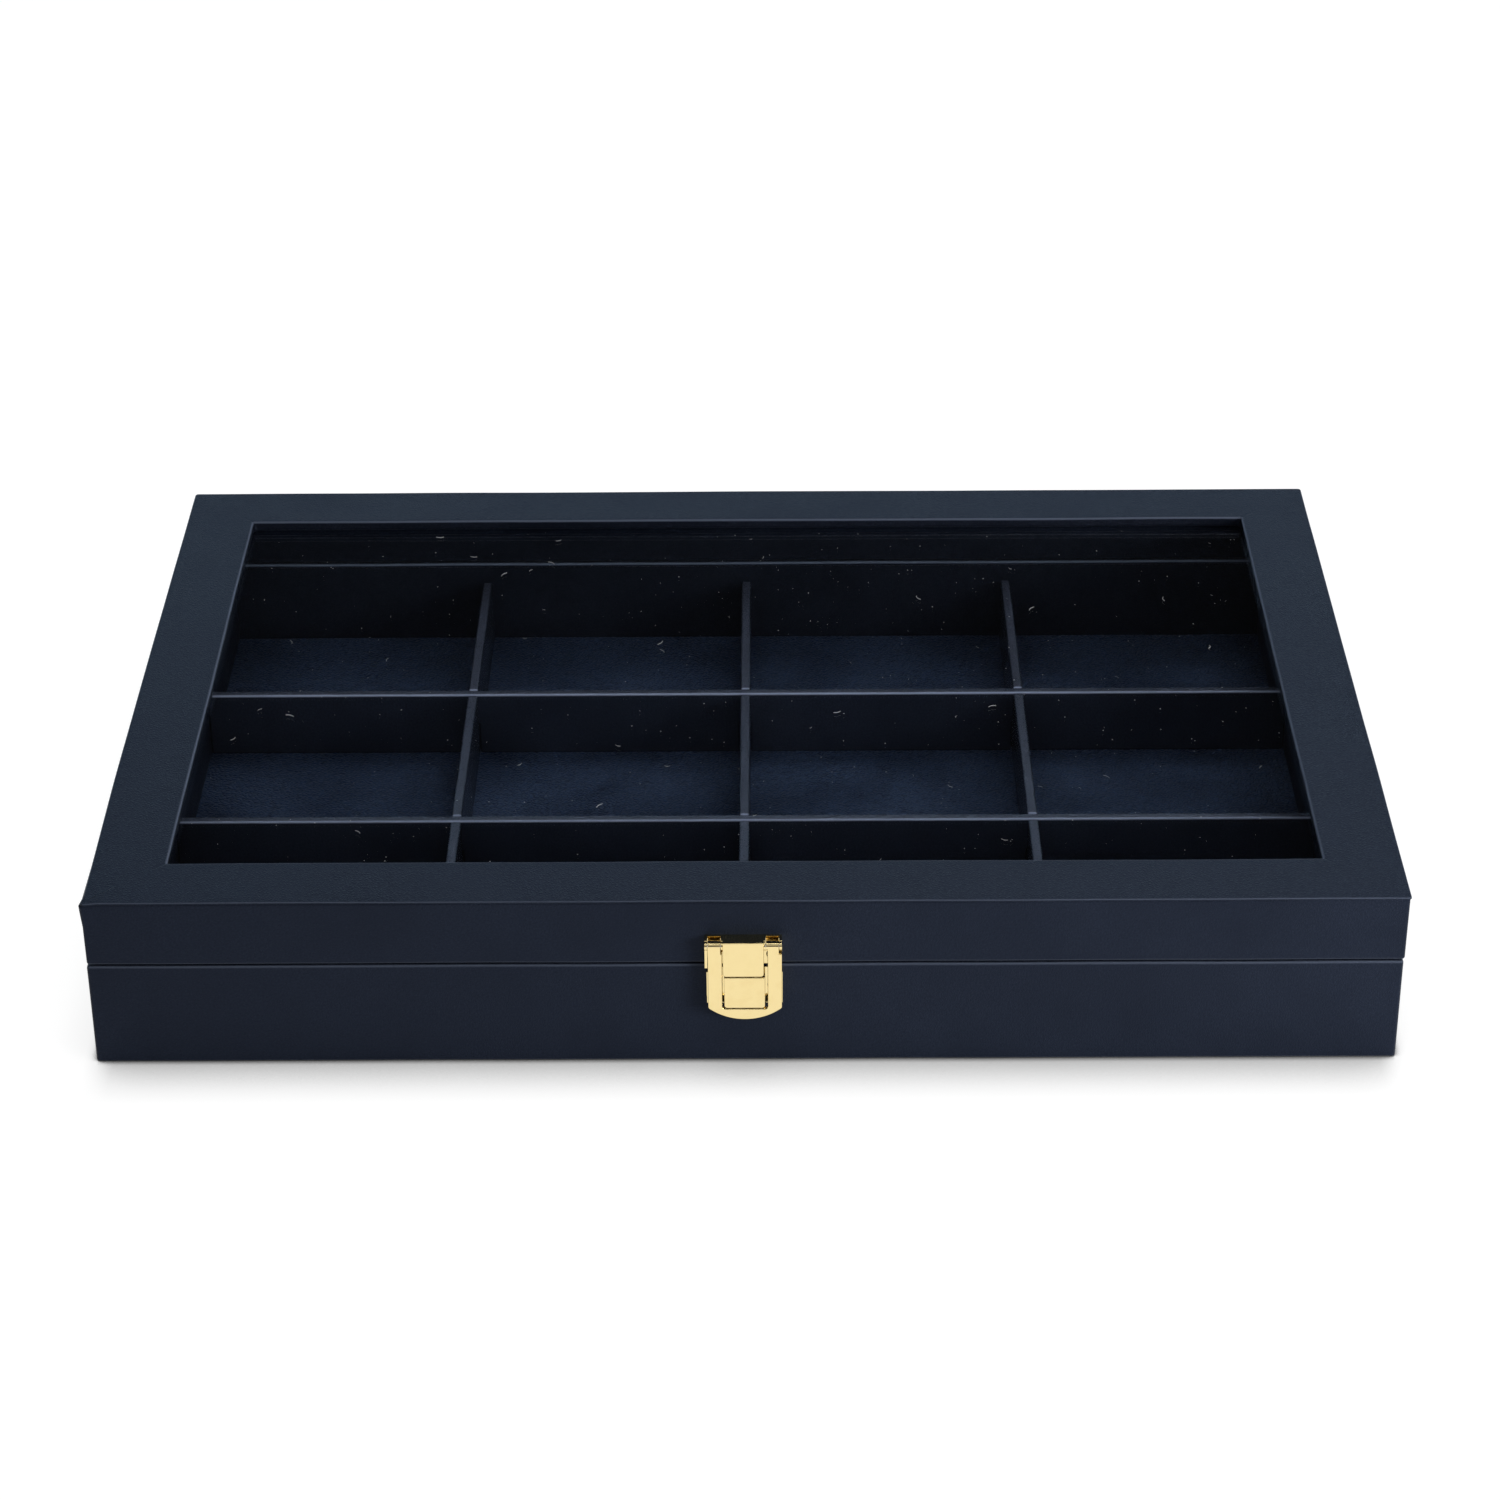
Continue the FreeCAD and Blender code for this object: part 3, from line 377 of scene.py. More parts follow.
# Parts of the cover inside a shaded room, a box of (half length, half depth, top), get the darker leather, painted
# shade for the dim inside of the case
def cover(name, profile, outer, corner, inner, innerCorner, shape, body, node, shadedRooms, gusset=(0, 0)):
    loops, wearAndHighlight = [], []
    for halfX, halfY, z, amount in turned(profile):
        if halfX - inner < outer - halfX:
            radius = innerCorner + min(halfX - inner, wrap["innerSpread"])
        else:
            radius = max(wrap["leastRadius"], corner - (outer - halfX))
        if halfX < inner + wrap["gussetBand"] and z < gusset[0]:
            radius += (gusset[0] - z) * gusset[1]
        loop = levelLoop(halfX * mm, halfY * mm, z * mm, radius * mm)
        loops.append([(shape(point, out), out) for point, out in loop])
        highlightPaint = wrap["innerHighlight" if halfX < inner + wrap["innerBand"] else "outerHighlight"]
        wearAndHighlight += [amount * highlightPaint] * len(loop)
    mesh = loft(name, loops)
    markPaintedHighlights(mesh, wearAndHighlight)
    piece = newPiece(name, mesh, leathers["leather"])
    mesh.materials.append(leathers["wallLeather"])
    for face in mesh.polygons:
        middle = face.center
        for roomX, roomY, roomZ in shadedRooms:
            if abs(middle.x) < roomX * mm and abs(middle.y) < roomY * mm and middle.z < roomZ * mm:
                face.material_index = 1
    thick = piece.modifiers.new("sheet", "SOLIDIFY")
    thick.thickness = wrap["sheet"]
    thick.offset = -1
    weighNormals(piece)
    return settle(piece, body, [node], "cover")


trayLook = {
    "corner": 0.9, "innerCorner": 0.3, "low": 0.1, "rim": 30.7, "bottomEdge": 0.6, "rimEdge": 0.75,
    "outer": (174.55, 119.55), "inner": (162.95, 107.95), "turnedIn": (164.5, 109.5, 0.5), "turnedInRun": 2.0,
    "outerRings": (6, 12, 18, 24), "innerRings": (24, 4.3), "flatBelow": 1 * mm, "shadedRooms": [(163.4, 108.4, 30)],
}


def buildTrayCover():
    outX, outY = trayLook["outer"]
    inX, inY = trayLook["inner"]
    startX, startY, startZ = trayLook["turnedIn"]
    run, low, rim = trayLook["turnedInRun"], trayLook["low"], trayLook["rim"]
    profile = [(startX, startY, startZ, 0), (startX + run, startY + run, low, 0)]
    profile += [(outX, outY, low, trayLook["bottomEdge"])]
    profile += [(outX, outY, z, 0) for z in trayLook["outerRings"]]
    profile += [(outX, outY, rim, trayLook["rimEdge"])]
    profile += [((outX + inX) / 2, (outY + inY) / 2, rim, 0), (inX, inY, rim, trayLook["rimEdge"])]
    profile += [(inX, inY, z, 0) for z in trayLook["innerRings"]]

    def shape(point, out):
        moved = point + ripple(point, wrap["ripple"], wrap["rippleLength"])
        if point.z < trayLook["flatBelow"]:
            moved.z = point.z
        return moved

    return cover(
        "trayCover", profile, outX, trayLook["corner"], inX, trayLook["innerCorner"], shape,
        "base", "base_cover", trayLook["shadedRooms"],
    )


lidLook = {
    "corner": 1.0, "windowCorner": 0.25, "lowEdge": 0.75, "topEdge": 0.4, "windowEdge": 0.75,
    "walls": (174.7, 119.7), "sheet": (175.0, 120.0), "inner": (163.1, 108.1), "window": (154.0, 100.0),
    "low": 31.3, "top": 51.0, "grooveTop": 50.15,
    # A shallow groove under the top sheet: from which outline, how far in from it and how far above the groove's top
    "grooveRings": (
        ("walls", 0, -0.45), ("walls", 0.1, -0.2), ("walls", 0.35, 0), ("sheet", 0.12, 0.12), ("sheet", 0, 0.25),
    ),
    "innerRings": (47.7, 42, 36), "wallRings": (35, 39, 43, 47), "topRings": (2, 5, 9, 13, 17, 19.2),
    "windowRings": (49.2, 48.3), "windowEnd": ((0.12, 47.95), (0.7, 47.83)),
    "foldLow": 45 * mm, "foldFull": 48 * mm, "foldReach": 0.65 * mm, "foldNear": 6 * mm, "foldWidth": 1.6 * mm,
    "crease": 0.10 * mm, "creaseLength": 4.5 * mm, "creaseWidth": 0.35 * mm, "gusset": (50.4, 0.75),
    "sunk": 0.75, "sunkAbove": 50.3 * mm,
    "leftBeyond": -170 * mm, "leftIn": 0.35 * mm, "cornerIn": 0.85 * mm, "cornerAbove": 50.2 * mm,
    "shadedRooms": [(163.6, 108.6, 47.75), (154.15, 100.15, 50.25)],
}


def buildLidCover():
    wallX, wallY = lidLook["walls"]
    outX, outY = lidLook["sheet"]
    inX, inY = lidLook["inner"]
    winX, winY = lidLook["window"]
    low, top, high = lidLook["low"], lidLook["top"], lidLook["grooveTop"]
    spanX, spanY = outX - winX, outY - winY
    profile = [(inX, inY, z, 0) for z in lidLook["innerRings"]]
    profile += [(inX, inY, low, lidLook["lowEdge"]), ((inX + wallX) / 2, (inY + wallY) / 2, low, 0)]
    profile += [(wallX, wallY, low, lidLook["lowEdge"])]
    profile += [(wallX, wallY, z, 0) for z in lidLook["wallRings"]]
    for outline, inset, rise in lidLook["grooveRings"]:
        sideX, sideY = lidLook[outline]
        profile += [(sideX - inset, sideY - inset, high + rise, 0)]
    profile += [(outX, outY, top, lidLook["topEdge"])]
    profile += [(outX - inset, outY - inset * spanY / spanX, top, 0) for inset in lidLook["topRings"]]
    profile += [(winX, winY, top, lidLook["windowEdge"])]
    profile += [(winX, winY, z, 0) for z in lidLook["windowRings"]]
    profile += [(winX + back, winY + back, z, 0) for back, z in lidLook["windowEnd"]]

    def shape(point, out):
        moved = point + ripple(point, wrap["ripple"], wrap["rippleLength"])
        if point.z > lidLook["sunkAbove"]:
            moved.z = min(moved.z - lidLook["sunk"] * wrap["ripple"], top * mm)
        # The left side is drawn in a little, most at the front corner of the top
        if point.x < lidLook["leftBeyond"]:
            front = min(max(-point.y / (outY * mm), 0), 1)
            drawnIn = lidLook["leftIn"]
            if point.z > lidLook["cornerAbove"]:
                drawnIn += lidLook["cornerIn"] * front ** 2
            moved.x += drawnIn
        # The folded corner of the wrap at the front left
        corner = Vector((-outX * mm, -outY * mm, 0))
        apart = (Vector((point.x, point.y, 0)) - corner).length
        rise = min(max((point.z - lidLook["foldLow"]) / (lidLook["foldFull"] - lidLook["foldLow"]), 0), 1)
        if apart < lidLook["foldNear"]:
            outward = Vector((out.x, out.y, 0))
            moved += outward * lidLook["foldReach"] * rise * math.exp(-((apart / lidLook["foldWidth"]) ** 2))
        # The sheet is cut and folded down along a diagonal at each corner of the window
        fromX, fromY = abs(point.x) - winX * mm, abs(point.y) - winY * mm
        if -1e-6 < min(fromX, fromY) and max(fromX, fromY) < lidLook["creaseLength"]:
            offDiagonal = abs(fromX - fromY)
            fade = 1 - max(fromX, fromY) / lidLook["creaseLength"]
            moved.z -= lidLook["crease"] * fade * math.exp(-((offDiagonal / lidLook["creaseWidth"]) ** 2))
        return moved

    return cover(
        "lidCover", profile, outX, lidLook["corner"], winX, lidLook["windowCorner"], shape,
        "lid", "lid_cover", lidLook["shadedRooms"], lidLook["gusset"],
    )


buildTrayCover()
buildLidCover()
print("covers ready")


# Copies of CAD shapes with softened edges
softening = {
    "doubles": 0.002 * mm, "flat": math.radians(1.5), "sharp": 0.6,  # angles in radians
    "highlightFrom": 0.3,  # how far an edge has to face up and forwards before it gets the painted highlight
}


def cleanCopy(node):
    mesh = nodes[node].data.copy()
    mesh.transform(nodes[node].matrix_world)
    form = bmesh.new()
    form.from_mesh(mesh)
    bmesh.ops.remove_doubles(form, verts=form.verts, dist=softening["doubles"])
    bmesh.ops.dissolve_limit(form, angle_limit=softening["flat"], verts=form.verts, edges=form.edges)
    bmesh.ops.recalc_face_normals(form, faces=form.faces)
    return form


# Cuts a long form across every so often, so that it can ripple
def sliceUp(form, step):
    for axis in range(3):
        low = min(vert.co[axis] for vert in form.verts)
        high = max(vert.co[axis] for vert in form.verts)
        count = int((high - low) / step)
        normal = Vector((0, 0, 0))
        normal[axis] = 1
        for index in range(1, count):
            place = Vector((0, 0, 0))
            place[axis] = low + (high - low) * index / count
            everything = form.verts[:] + form.edges[:] + form.faces[:]
            bmesh.ops.bisect_plane(form, geom=everything, plane_co=place, plane_no=normal, dist=1e-7)


# Rounds every sharp edge of a form, paints a highlight on edges that face up and forwards and a lighter tone on faces
# that face up, and lets its faces ripple a little
def softened(name, form, look, material, body, replaced, slot):
    highlightPaint = form.verts.layers.float.new("edge")
    highlightFrom = softening["highlightFrom"]
    sharp = [edge for edge in form.edges if edge.is_manifold and edge.calc_face_angle() > softening["sharp"]]
    bmesh.ops.bevel(
        form, geom=sharp, offset=look["edge"], segments=look.get("segments", 3), profile=0.5,
        affect="EDGES", clamp_overlap=True,
    )
    form.normal_update()
    for vert in form.verts:
        up, front = max(vert.normal.z, 0), max(-vert.normal.y, 0)
        rounded = max(2 * up * front - highlightFrom, 0) / (1 - highlightFrom)
        vert[highlightPaint] = look.get("topLightPaint", 0) * up ** 4 + look.get("highlightPaint", 0) * rounded
    if look.get("ripple"):
        sliceUp(form, look["step"])
        for vert in form.verts:
            vert.co += ripple(vert.co + Vector((0, 0, look.get("seed", 0))), look["ripple"], look["rippleLength"])
    mesh = bpy.data.meshes.new(name)
    form.to_mesh(mesh)
    form.free()
    smoothAll(mesh)
    piece = newPiece(name, mesh, material)
    weighNormals(piece)
    return settle(piece, body, replaced, slot)


liningLooks = {
    "floor": {"edge": 0.15 * mm, "step": 9 * mm, "ripple": 0.16 * mm, "rippleLength": 24 * mm},
    "wall": {"edge": 0.2 * mm, "step": 7 * mm, "ripple": 0.14 * mm, "rippleLength": 30 * mm},
    "strip": {"edge": 0.7 * mm, "step": 8 * mm, "ripple": 0.12 * mm, "rippleLength": 26 * mm},
    "underside": {"edge": 0.2 * mm, "segments": 2},
}
softened(
    "floorLining", cleanCopy("floor_lining"), liningLooks["floor"], leathers["floorLeather"], "base",
    ["floor_lining"], "lining",
)
# The wall linings and glass strips take the darker leather, painted shade for the dim inside
for side in ("Front", "Back", "Left", "Right"):
    wallNode, stripNode = f"wall_lining_{side.lower()}", f"glass_strip_{side.lower()}"
    softened(
        f"wallLining{side}", cleanCopy(wallNode), liningLooks["wall"], leathers["wallLeather"], "base",
        [wallNode], "lining",
    )
    softened(
        f"glassStrip{side}", cleanCopy(stripNode), liningLooks["strip"], leathers["wallLeather"], "lid",
        [stripNode], "strip",
    )
softened(
    "undersideFelt", cleanCopy("underside_sheet"), liningLooks["underside"], felt, "base",
    ["underside_sheet"], "underside",
)
print("lining ready")

# Dividers: slats that slot into each other at half their height
dividers = {
    "thick": 3.0 * mm, "low": 4.3 * mm, "high": 24.6 * mm, "play": 0.1 * mm,
    "long": {"half": 162.3 * mm, "places": (-36.3167 * mm, 36.3167 * mm), "seed": 0.0},
    "cross": {"half": 107.3 * mm, "places": (-82.375 * mm, -0.4 * mm, 81.575 * mm), "seed": 0.4},
    "seedStep": 0.1,
    "look": {
        # highlightPaint is painted highlight on the edges that face up and forwards, topLightPaint painted light on
        # the tops
        "edge": 0.7 * mm, "segments": 5, "highlightPaint": 1.0, "topLightPaint": 0.11,
        "step": 8 * mm, "ripple": 0.02 * mm, "rippleLength": 70 * mm,
    },
}


# A board on edge with a slot half its height wherever another board crosses it
def slat(half, place, slots, fromAbove, alongX):
    low, high, thick = dividers["low"], dividers["high"], dividers["thick"]
    middle = (low + high) / 2
    notch = thick / 2 + dividers["play"]
    outline = [(-half, low)]
    edge = []
    for slot in sorted(slots):
        reach = middle - dividers["play"] / 2 if fromAbove else middle + dividers["play"] / 2
        start = high if fromAbove else low
        edge += [(slot - notch, start), (slot - notch, reach), (slot + notch, reach), (slot + notch, start)]
    if fromAbove:
        outline += [(half, low), (half, high)] + edge[::-1] + [(-half, high)]
    else:
        outline += edge + [(half, low), (half, high), (-half, high)]
    form = bmesh.new()

    def spot(along, z, side):
        across = place + side * thick / 2
        return (along, across, z) if alongX else (across, along, z)

    front = [form.verts.new(spot(along, z, -1)) for along, z in outline]
    back = [form.verts.new(spot(along, z, 1)) for along, z in outline]
    form.faces.new(front)
    form.faces.new(back[::-1])
    for index in range(len(front)):
        after = (index + 1) % len(front)
        form.faces.new((front[index], back[index], back[after], front[after]))
    bmesh.ops.recalc_face_normals(form, faces=form.faces)
    return form


longSlats, crossSlats, seedStep = dividers["long"], dividers["cross"], dividers["seedStep"]
for number, place in enumerate(longSlats["places"], 1):
    softened(
        f"longDivider{number}", slat(longSlats["half"], place, crossSlats["places"], False, True),
        dict(dividers["look"], seed=longSlats["seed"] + seedStep * number), leathers["dividerLeather"], "base",
        [f"long_divider_{number}"], "divider_cover",
    )
for number, place in enumerate(crossSlats["places"], 1):
    softened(
        f"crossDivider{number}", slat(crossSlats["half"], place, longSlats["places"], True, False),
        dict(dividers["look"], seed=crossSlats["seed"] + seedStep * number), leathers["dividerLeather"], "base",
        [f"cross_divider_{number}"], "divider_cover",
    )
print("dividers ready")

# Latch and hinges
metalParts = {
    "latchPlate": ("latch_plate", "lid", "gilt", "gold", 0.13 * mm),
    "latchCatch": ("latch_catch", "base", "gilt", "gold", 0.07 * mm),
    "latchHasp": ("latch_hasp", "hasp", "gilt", "gold", 0.07 * mm),
    "hingeLeftBaseLeaf": ("hinge_left_base_leaf", "base", "hinge", "brass", 0.1 * mm),
    "hingeRightBaseLeaf": ("hinge_right_base_leaf", "base", "hinge", "brass", 0.1 * mm),
    "hingeLeftLidLeaf": ("hinge_left_lid_leaf", "lid", "hinge", "brass", 0.1 * mm),
    "hingeRightLidLeaf": ("hinge_right_lid_leaf", "lid", "hinge", "brass", 0.1 * mm),
}
for name, (node, body, slotName, metal, edge) in metalParts.items():
    softened(name, cleanCopy(node), {"edge": edge, "segments": 2}, metals[metal], body, [node], slotName)
print("latch and hinges ready")

# Screws: a domed head with a cross cut in it, placed by Geometry Nodes
screwHead = {
    "rings": 14, "spokes": 48, "slotWidth": 0.16, "slotReach": 0.62, "slotRun": 0.12, "slotDepth": 0.45,
    "domePower": 2.6, "domeDrop": 0.97, "neck": 0.48, "tip": 0.42, "shank": 5.0, "firstSeed": 3,
}
screwGroups = {
    "latchPlateScrews": {
        "node": "latch_plate_screws", "body": "lid", "slot": "latch_screw", "metal": "steel", "facing": -1,
        "places": [(-7.75, -120.5, 34.6), (7.15, -120.5, 34.6)], "radius": 1.4, "height": 0.7,
    },
    "latchCatchScrews": {
        "node": "latch_catch_screws", "body": "base", "slot": "latch_screw", "metal": "steel", "facing": -1,
        "places": [(-7.45, -120.35, 24.8), (7.45, -120.35, 24.8)], "radius": 1.4, "height": 0.7,
    },
    "hingeLidScrews": {
        "node": "hinge_lid_screws", "body": "lid", "slot": "hinge_screw", "metal": "brass", "facing": 1,
        "places": [(x, 120.5, 38.0) for x in (-116, -94, 94, 116)], "radius": 1.7, "height": 0.6,
    },
    "hingeBaseScrews": {
        "node": "hinge_base_screws", "body": "base", "slot": "hinge_screw", "metal": "brass", "facing": 1,
        "places": [(x, 120.35, 24.0) for x in (-116, -94, 94, 116)], "radius": 1.7, "height": 0.6,
    },
}


# One screw along Z, its head up, with the seat of the head at the origin
def screwMesh(radius, height):
    verts, faces = [], []
    rings, spokes = screwHead["rings"], screwHead["spokes"]
    for ring in range(rings + 1):
        part = ring / rings
        for spoke in range(spokes):
            angle = 2 * math.pi * spoke / spokes
            x, y = part * math.cos(angle), part * math.sin(angle)
            dome = height * math.sqrt(max(0.0, 1 - (part ** screwHead["domePower"]) * screwHead["domeDrop"]))
            across = min(abs(x), abs(y)) / screwHead["slotWidth"]
            ending = max(0.0, min(1.0, (screwHead["slotReach"] - part) / screwHead["slotRun"]))
            inSlot = max(0.0, 1 - across ** 4) * ending
            verts.append((x * radius, y * radius, dome - inSlot * screwHead["slotDepth"] * height))
    neck, tipWidth = radius * screwHead["neck"], radius * screwHead["tip"]
    for depth, width in ((0.0, radius), (0.0, neck), (-screwHead["shank"] * mm, tipWidth)):
        for spoke in range(spokes):
            angle = 2 * math.pi * spoke / spokes
            verts.append((width * math.cos(angle), width * math.sin(angle), depth))
    for ring in range(rings + 3):
        for spoke in range(spokes):
            after = (spoke + 1) % spokes
            low, high = ring * spokes, (ring + 1) * spokes
            faces.append((low + spoke, high + spoke, high + after, low + after))
    tip = (rings + 3) * spokes
    faces.append([tip + spoke for spoke in range(spokes)][::-1])
    mesh = bpy.data.meshes.new("screw")
    mesh.from_pydata(verts, [], faces)
    form = bmesh.new()
    form.from_mesh(mesh)
    bmesh.ops.remove_doubles(form, verts=form.verts, dist=1e-7)
    bmesh.ops.recalc_face_normals(form, faces=form.faces)
    form.to_mesh(mesh)
    form.free()
    smoothAll(mesh)
    return mesh


# A Geometry Nodes group with a geometry socket on each side and the named inputs
def instancer(name, sockets):
    group = bpy.data.node_groups.new(name, "GeometryNodeTree")
    group.interface.new_socket("Geometry", in_out="INPUT", socket_type="NodeSocketGeometry")
    group.interface.new_socket("Geometry", in_out="OUTPUT", socket_type="NodeSocketGeometry")
    identifiers = {}
    for label, kind in sockets.items():
        socket = group.interface.new_socket(label, in_out="INPUT", socket_type=kind)
        identifiers[label] = socket.identifier
    return group, addNode(group, "NodeGroupInput"), addNode(group, "NodeGroupOutput"), identifiers


def placeScrews():
    sockets = {
        "Screw": "NodeSocketObject", "Turn": "NodeSocketFloat", "Seed": "NodeSocketInt",
        "Material": "NodeSocketMaterial",
    }
    group, given, result, identifiers = instancer("screwPlaces", sockets)
    single = addNode(group, "GeometryNodeObjectInfo", {"Object": given.outputs["Screw"], "As Instance": True})
    spin = addNode(
        group, "FunctionNodeRandomValue", {2: 0.0, 3: fullTurn, "Seed": given.outputs["Seed"]}, data_type="FLOAT"
    ).outputs[1]
    tilt = addNode(group, "ShaderNodeCombineXYZ", {"X": given.outputs["Turn"]}).outputs[0]
    turnHead = addNode(group, "ShaderNodeCombineXYZ", {"Z": spin}).outputs[0]
    placed = addNode(
        group, "GeometryNodeInstanceOnPoints",
        {"Points": given.outputs["Geometry"], "Instance": single.outputs["Geometry"], "Rotation": tilt},
    ).outputs[0]
    spun = addNode(
        group, "GeometryNodeRotateInstances", {"Instances": placed, "Rotation": turnHead, "Local Space": True}
    ).outputs[0]
    solid = addNode(group, "GeometryNodeRealizeInstances", {"Geometry": spun}).outputs[0]
    painted = addNode(
        group, "GeometryNodeSetMaterial", {"Geometry": solid, "Material": given.outputs["Material"]}
    ).outputs[0]
    group.links.new(painted, result.inputs[0])
    for number, (name, screws) in enumerate(screwGroups.items()):
        template = bpy.data.objects.new("screwTemplate", screwMesh(screws["radius"] * mm, screws["height"] * mm))
        bpy.context.scene.collection.objects.link(template)
        points = bpy.data.meshes.new(name)
        points.from_pydata([Vector(place) * mm for place in screws["places"]], [], [])
        piece = newPiece(name, points, metals[screws["metal"]])
        repeat = piece.modifiers.new("places", "NODES")
        repeat.node_group = group
        repeat[identifiers["Screw"]] = template
        repeat[identifiers["Turn"]] = -screws["facing"] * math.pi / 2
        repeat[identifiers["Seed"]] = number + screwHead["firstSeed"]
        repeat[identifiers["Material"]] = metals[screws["metal"]]
        settle(piece, screws["body"], [screws["node"]], screws["slot"])
        bpy.data.objects.remove(template)


placeScrews()
print("screws ready")

# Dust on the glass
dust = {
    "reach": (152 * mm, 98 * mm), "height": 47.8 * mm, "seed": 11,
    "fibresPerArea": 3200.0, "specksPerArea": 34000.0, "clump": 16.0,
    "clumpRange": (0.40, 0.66), "leastThick": 0.12, "fibreSizes": (0.5, 1.7), "speckSizes": (0.4, 1.5),
    "fibreSteps": 7, "fibreSides": 4, "sizeSeed": 5,
    "fibreLength": 1.5 * mm, "fibreRadius": 0.055 * mm, "fibreCurl": 0.9 * mm, "fibreLean": 0.25 * mm,
    "speckRadius": 0.10 * mm, "speckLong": 1.3, "speckFlat": 0.5, "speckRaised": 0.45,
}


# A short curled hair that lies on the glass
def fibreMesh():
    steps, sides, radius = dust["fibreSteps"], dust["fibreSides"], dust["fibreRadius"]
    verts, faces = [], []
    for step in range(steps + 1):
        part = step / steps - 0.5
        aside = dust["fibreCurl"] * part * part - dust["fibreLean"] * part
        centre = Vector((part * dust["fibreLength"], aside, radius))
        for side in range(sides):
            angle = 2 * math.pi * side / sides
            verts.append(centre + Vector((0, math.cos(angle), math.sin(angle))) * radius)
    for step in range(steps):
        for side in range(sides):
            after = (side + 1) % sides
            low, high = step * sides, (step + 1) * sides
            faces.append((low + side, high + side, high + after, low + after))
    last = steps * sides
    faces += [list(range(sides)), [last + side for side in range(sides)][::-1]]
    mesh = bpy.data.meshes.new("fibre")
    mesh.from_pydata(verts, [], faces)
    return mesh


def speckMesh():
    form = bmesh.new()
    raised = dust["speckRadius"] * dust["speckRaised"]
    bmesh.ops.create_icosphere(form, subdivisions=1, radius=dust["speckRadius"])
    for vert in form.verts:
        vert.co = Vector((vert.co.x * dust["speckLong"], vert.co.y, vert.co.z * dust["speckFlat"] + raised))
    mesh = bpy.data.meshes.new("speck")
    form.to_mesh(mesh)
    form.free()
    return mesh


def scatterDust():
    sockets = {
        "Fibre": "NodeSocketObject", "Speck": "NodeSocketObject", "Fibres": "NodeSocketFloat",
        "Specks": "NodeSocketFloat", "Clump": "NodeSocketFloat", "Seed": "NodeSocketInt",
        "Material": "NodeSocketMaterial",
    }
    group, given, result, identifiers = instancer("glassDust", sockets)
    place = addNode(group, "GeometryNodeInputPosition").outputs[0]
    clumps = addNode(
        group, "ShaderNodeTexNoise", {"Vector": place, "Scale": given.outputs["Clump"], "Detail": 1.0}
    ).outputs[0]
    thick = mapped(group, clumps, dust["clumpRange"], (dust["leastThick"], 1.0))
    joined = addNode(group, "GeometryNodeJoinGeometry")
    for count, shape, sizes in (("Fibres", "Fibre", dust["fibreSizes"]), ("Specks", "Speck", dust["speckSizes"])):
        density = multiplied(group, thick, given.outputs[count])
        points = addNode(
            group, "GeometryNodeDistributePointsOnFaces",
            {"Mesh": given.outputs["Geometry"], "Density": density, "Seed": given.outputs["Seed"]},
        ).outputs[0]
        single = addNode(group, "GeometryNodeObjectInfo", {"Object": given.outputs[shape], "As Instance": True})
        anyTurn = {0: (0.0, 0.0, 0.0), 1: (0.0, 0.0, fullTurn)}
        turn = addNode(group, "FunctionNodeRandomValue", anyTurn, data_type="FLOAT_VECTOR").outputs[0]
        between = {2: sizes[0], 3: sizes[1], "Seed": dust["sizeSeed"]}
        size = addNode(group, "FunctionNodeRandomValue", between, data_type="FLOAT").outputs[1]
        placed = addNode(
            group, "GeometryNodeInstanceOnPoints",
            {"Points": points, "Instance": single.outputs["Geometry"], "Rotation": turn, "Scale": size},
        ).outputs[0]
        group.links.new(placed, joined.inputs[0])
    solid = addNode(group, "GeometryNodeRealizeInstances", {"Geometry": joined.outputs[0]}).outputs[0]
    painted = addNode(
        group, "GeometryNodeSetMaterial", {"Geometry": solid, "Material": given.outputs["Material"]}
    ).outputs[0]
    group.links.new(painted, result.inputs[0])
    halfX, halfY = dust["reach"]
    high = dust["height"]
    corners = [(-halfX, -halfY, high), (halfX, -halfY, high), (halfX, halfY, high), (-halfX, halfY, high)]
    area = bpy.data.meshes.new("dustArea")
    area.from_pydata(corners, [], [(0, 1, 2, 3)])
    piece = newPiece("glassDust", area, lint)
    templates = {"Fibre": fibreMesh(), "Speck": speckMesh()}
    scatter = piece.modifiers.new("scatter", "NODES")
    scatter.node_group = group
    for label, mesh in templates.items():
        templates[label] = bpy.data.objects.new(label, mesh)
        bpy.context.scene.collection.objects.link(templates[label])
        scatter[identifiers[label]] = templates[label]
    scatter[identifiers["Fibres"]] = dust["fibresPerArea"]
    scatter[identifiers["Specks"]] = dust["specksPerArea"]
    scatter[identifiers["Clump"]] = dust["clump"]
    scatter[identifiers["Seed"]] = dust["seed"]
    scatter[identifiers["Material"]] = lint
    settle(piece, "lid", [], "glass")
    for template in templates.values():
        bpy.data.objects.remove(template)
    print("dust faces", len(piece.data.polygons))


scatterDust()

# What stays as it is in the frame, with a better surface
frameSurfaces = {
    "boards": (
        [f"{part}_{side}_board" for part in ("base", "lid") for side in ("front", "back", "left", "right")]
        + ["base_bottom_board"], board,
    ),
    "turnedIn": (["lid_top_frame"], leathers["wallLeather"]),  # the sheet is turned in under it, behind the glass; its darker leather is painted shade
    "pane": (["glass_pane"], glass),
    "latchPin": (["latch_pin"], metals["steel"]),
    "hingePins": (["hinge_left_pin", "hinge_right_pin"], metals["brass"]),
}
for names, material in frameSurfaces.values():
    for name in names:
        if not nodes[name].material_slots:
            nodes[name].data.materials.append(material)
        for slot in nodes[name].material_slots:
            slot.link = "OBJECT"
            slot.material = material
print("frame surfaces ready")

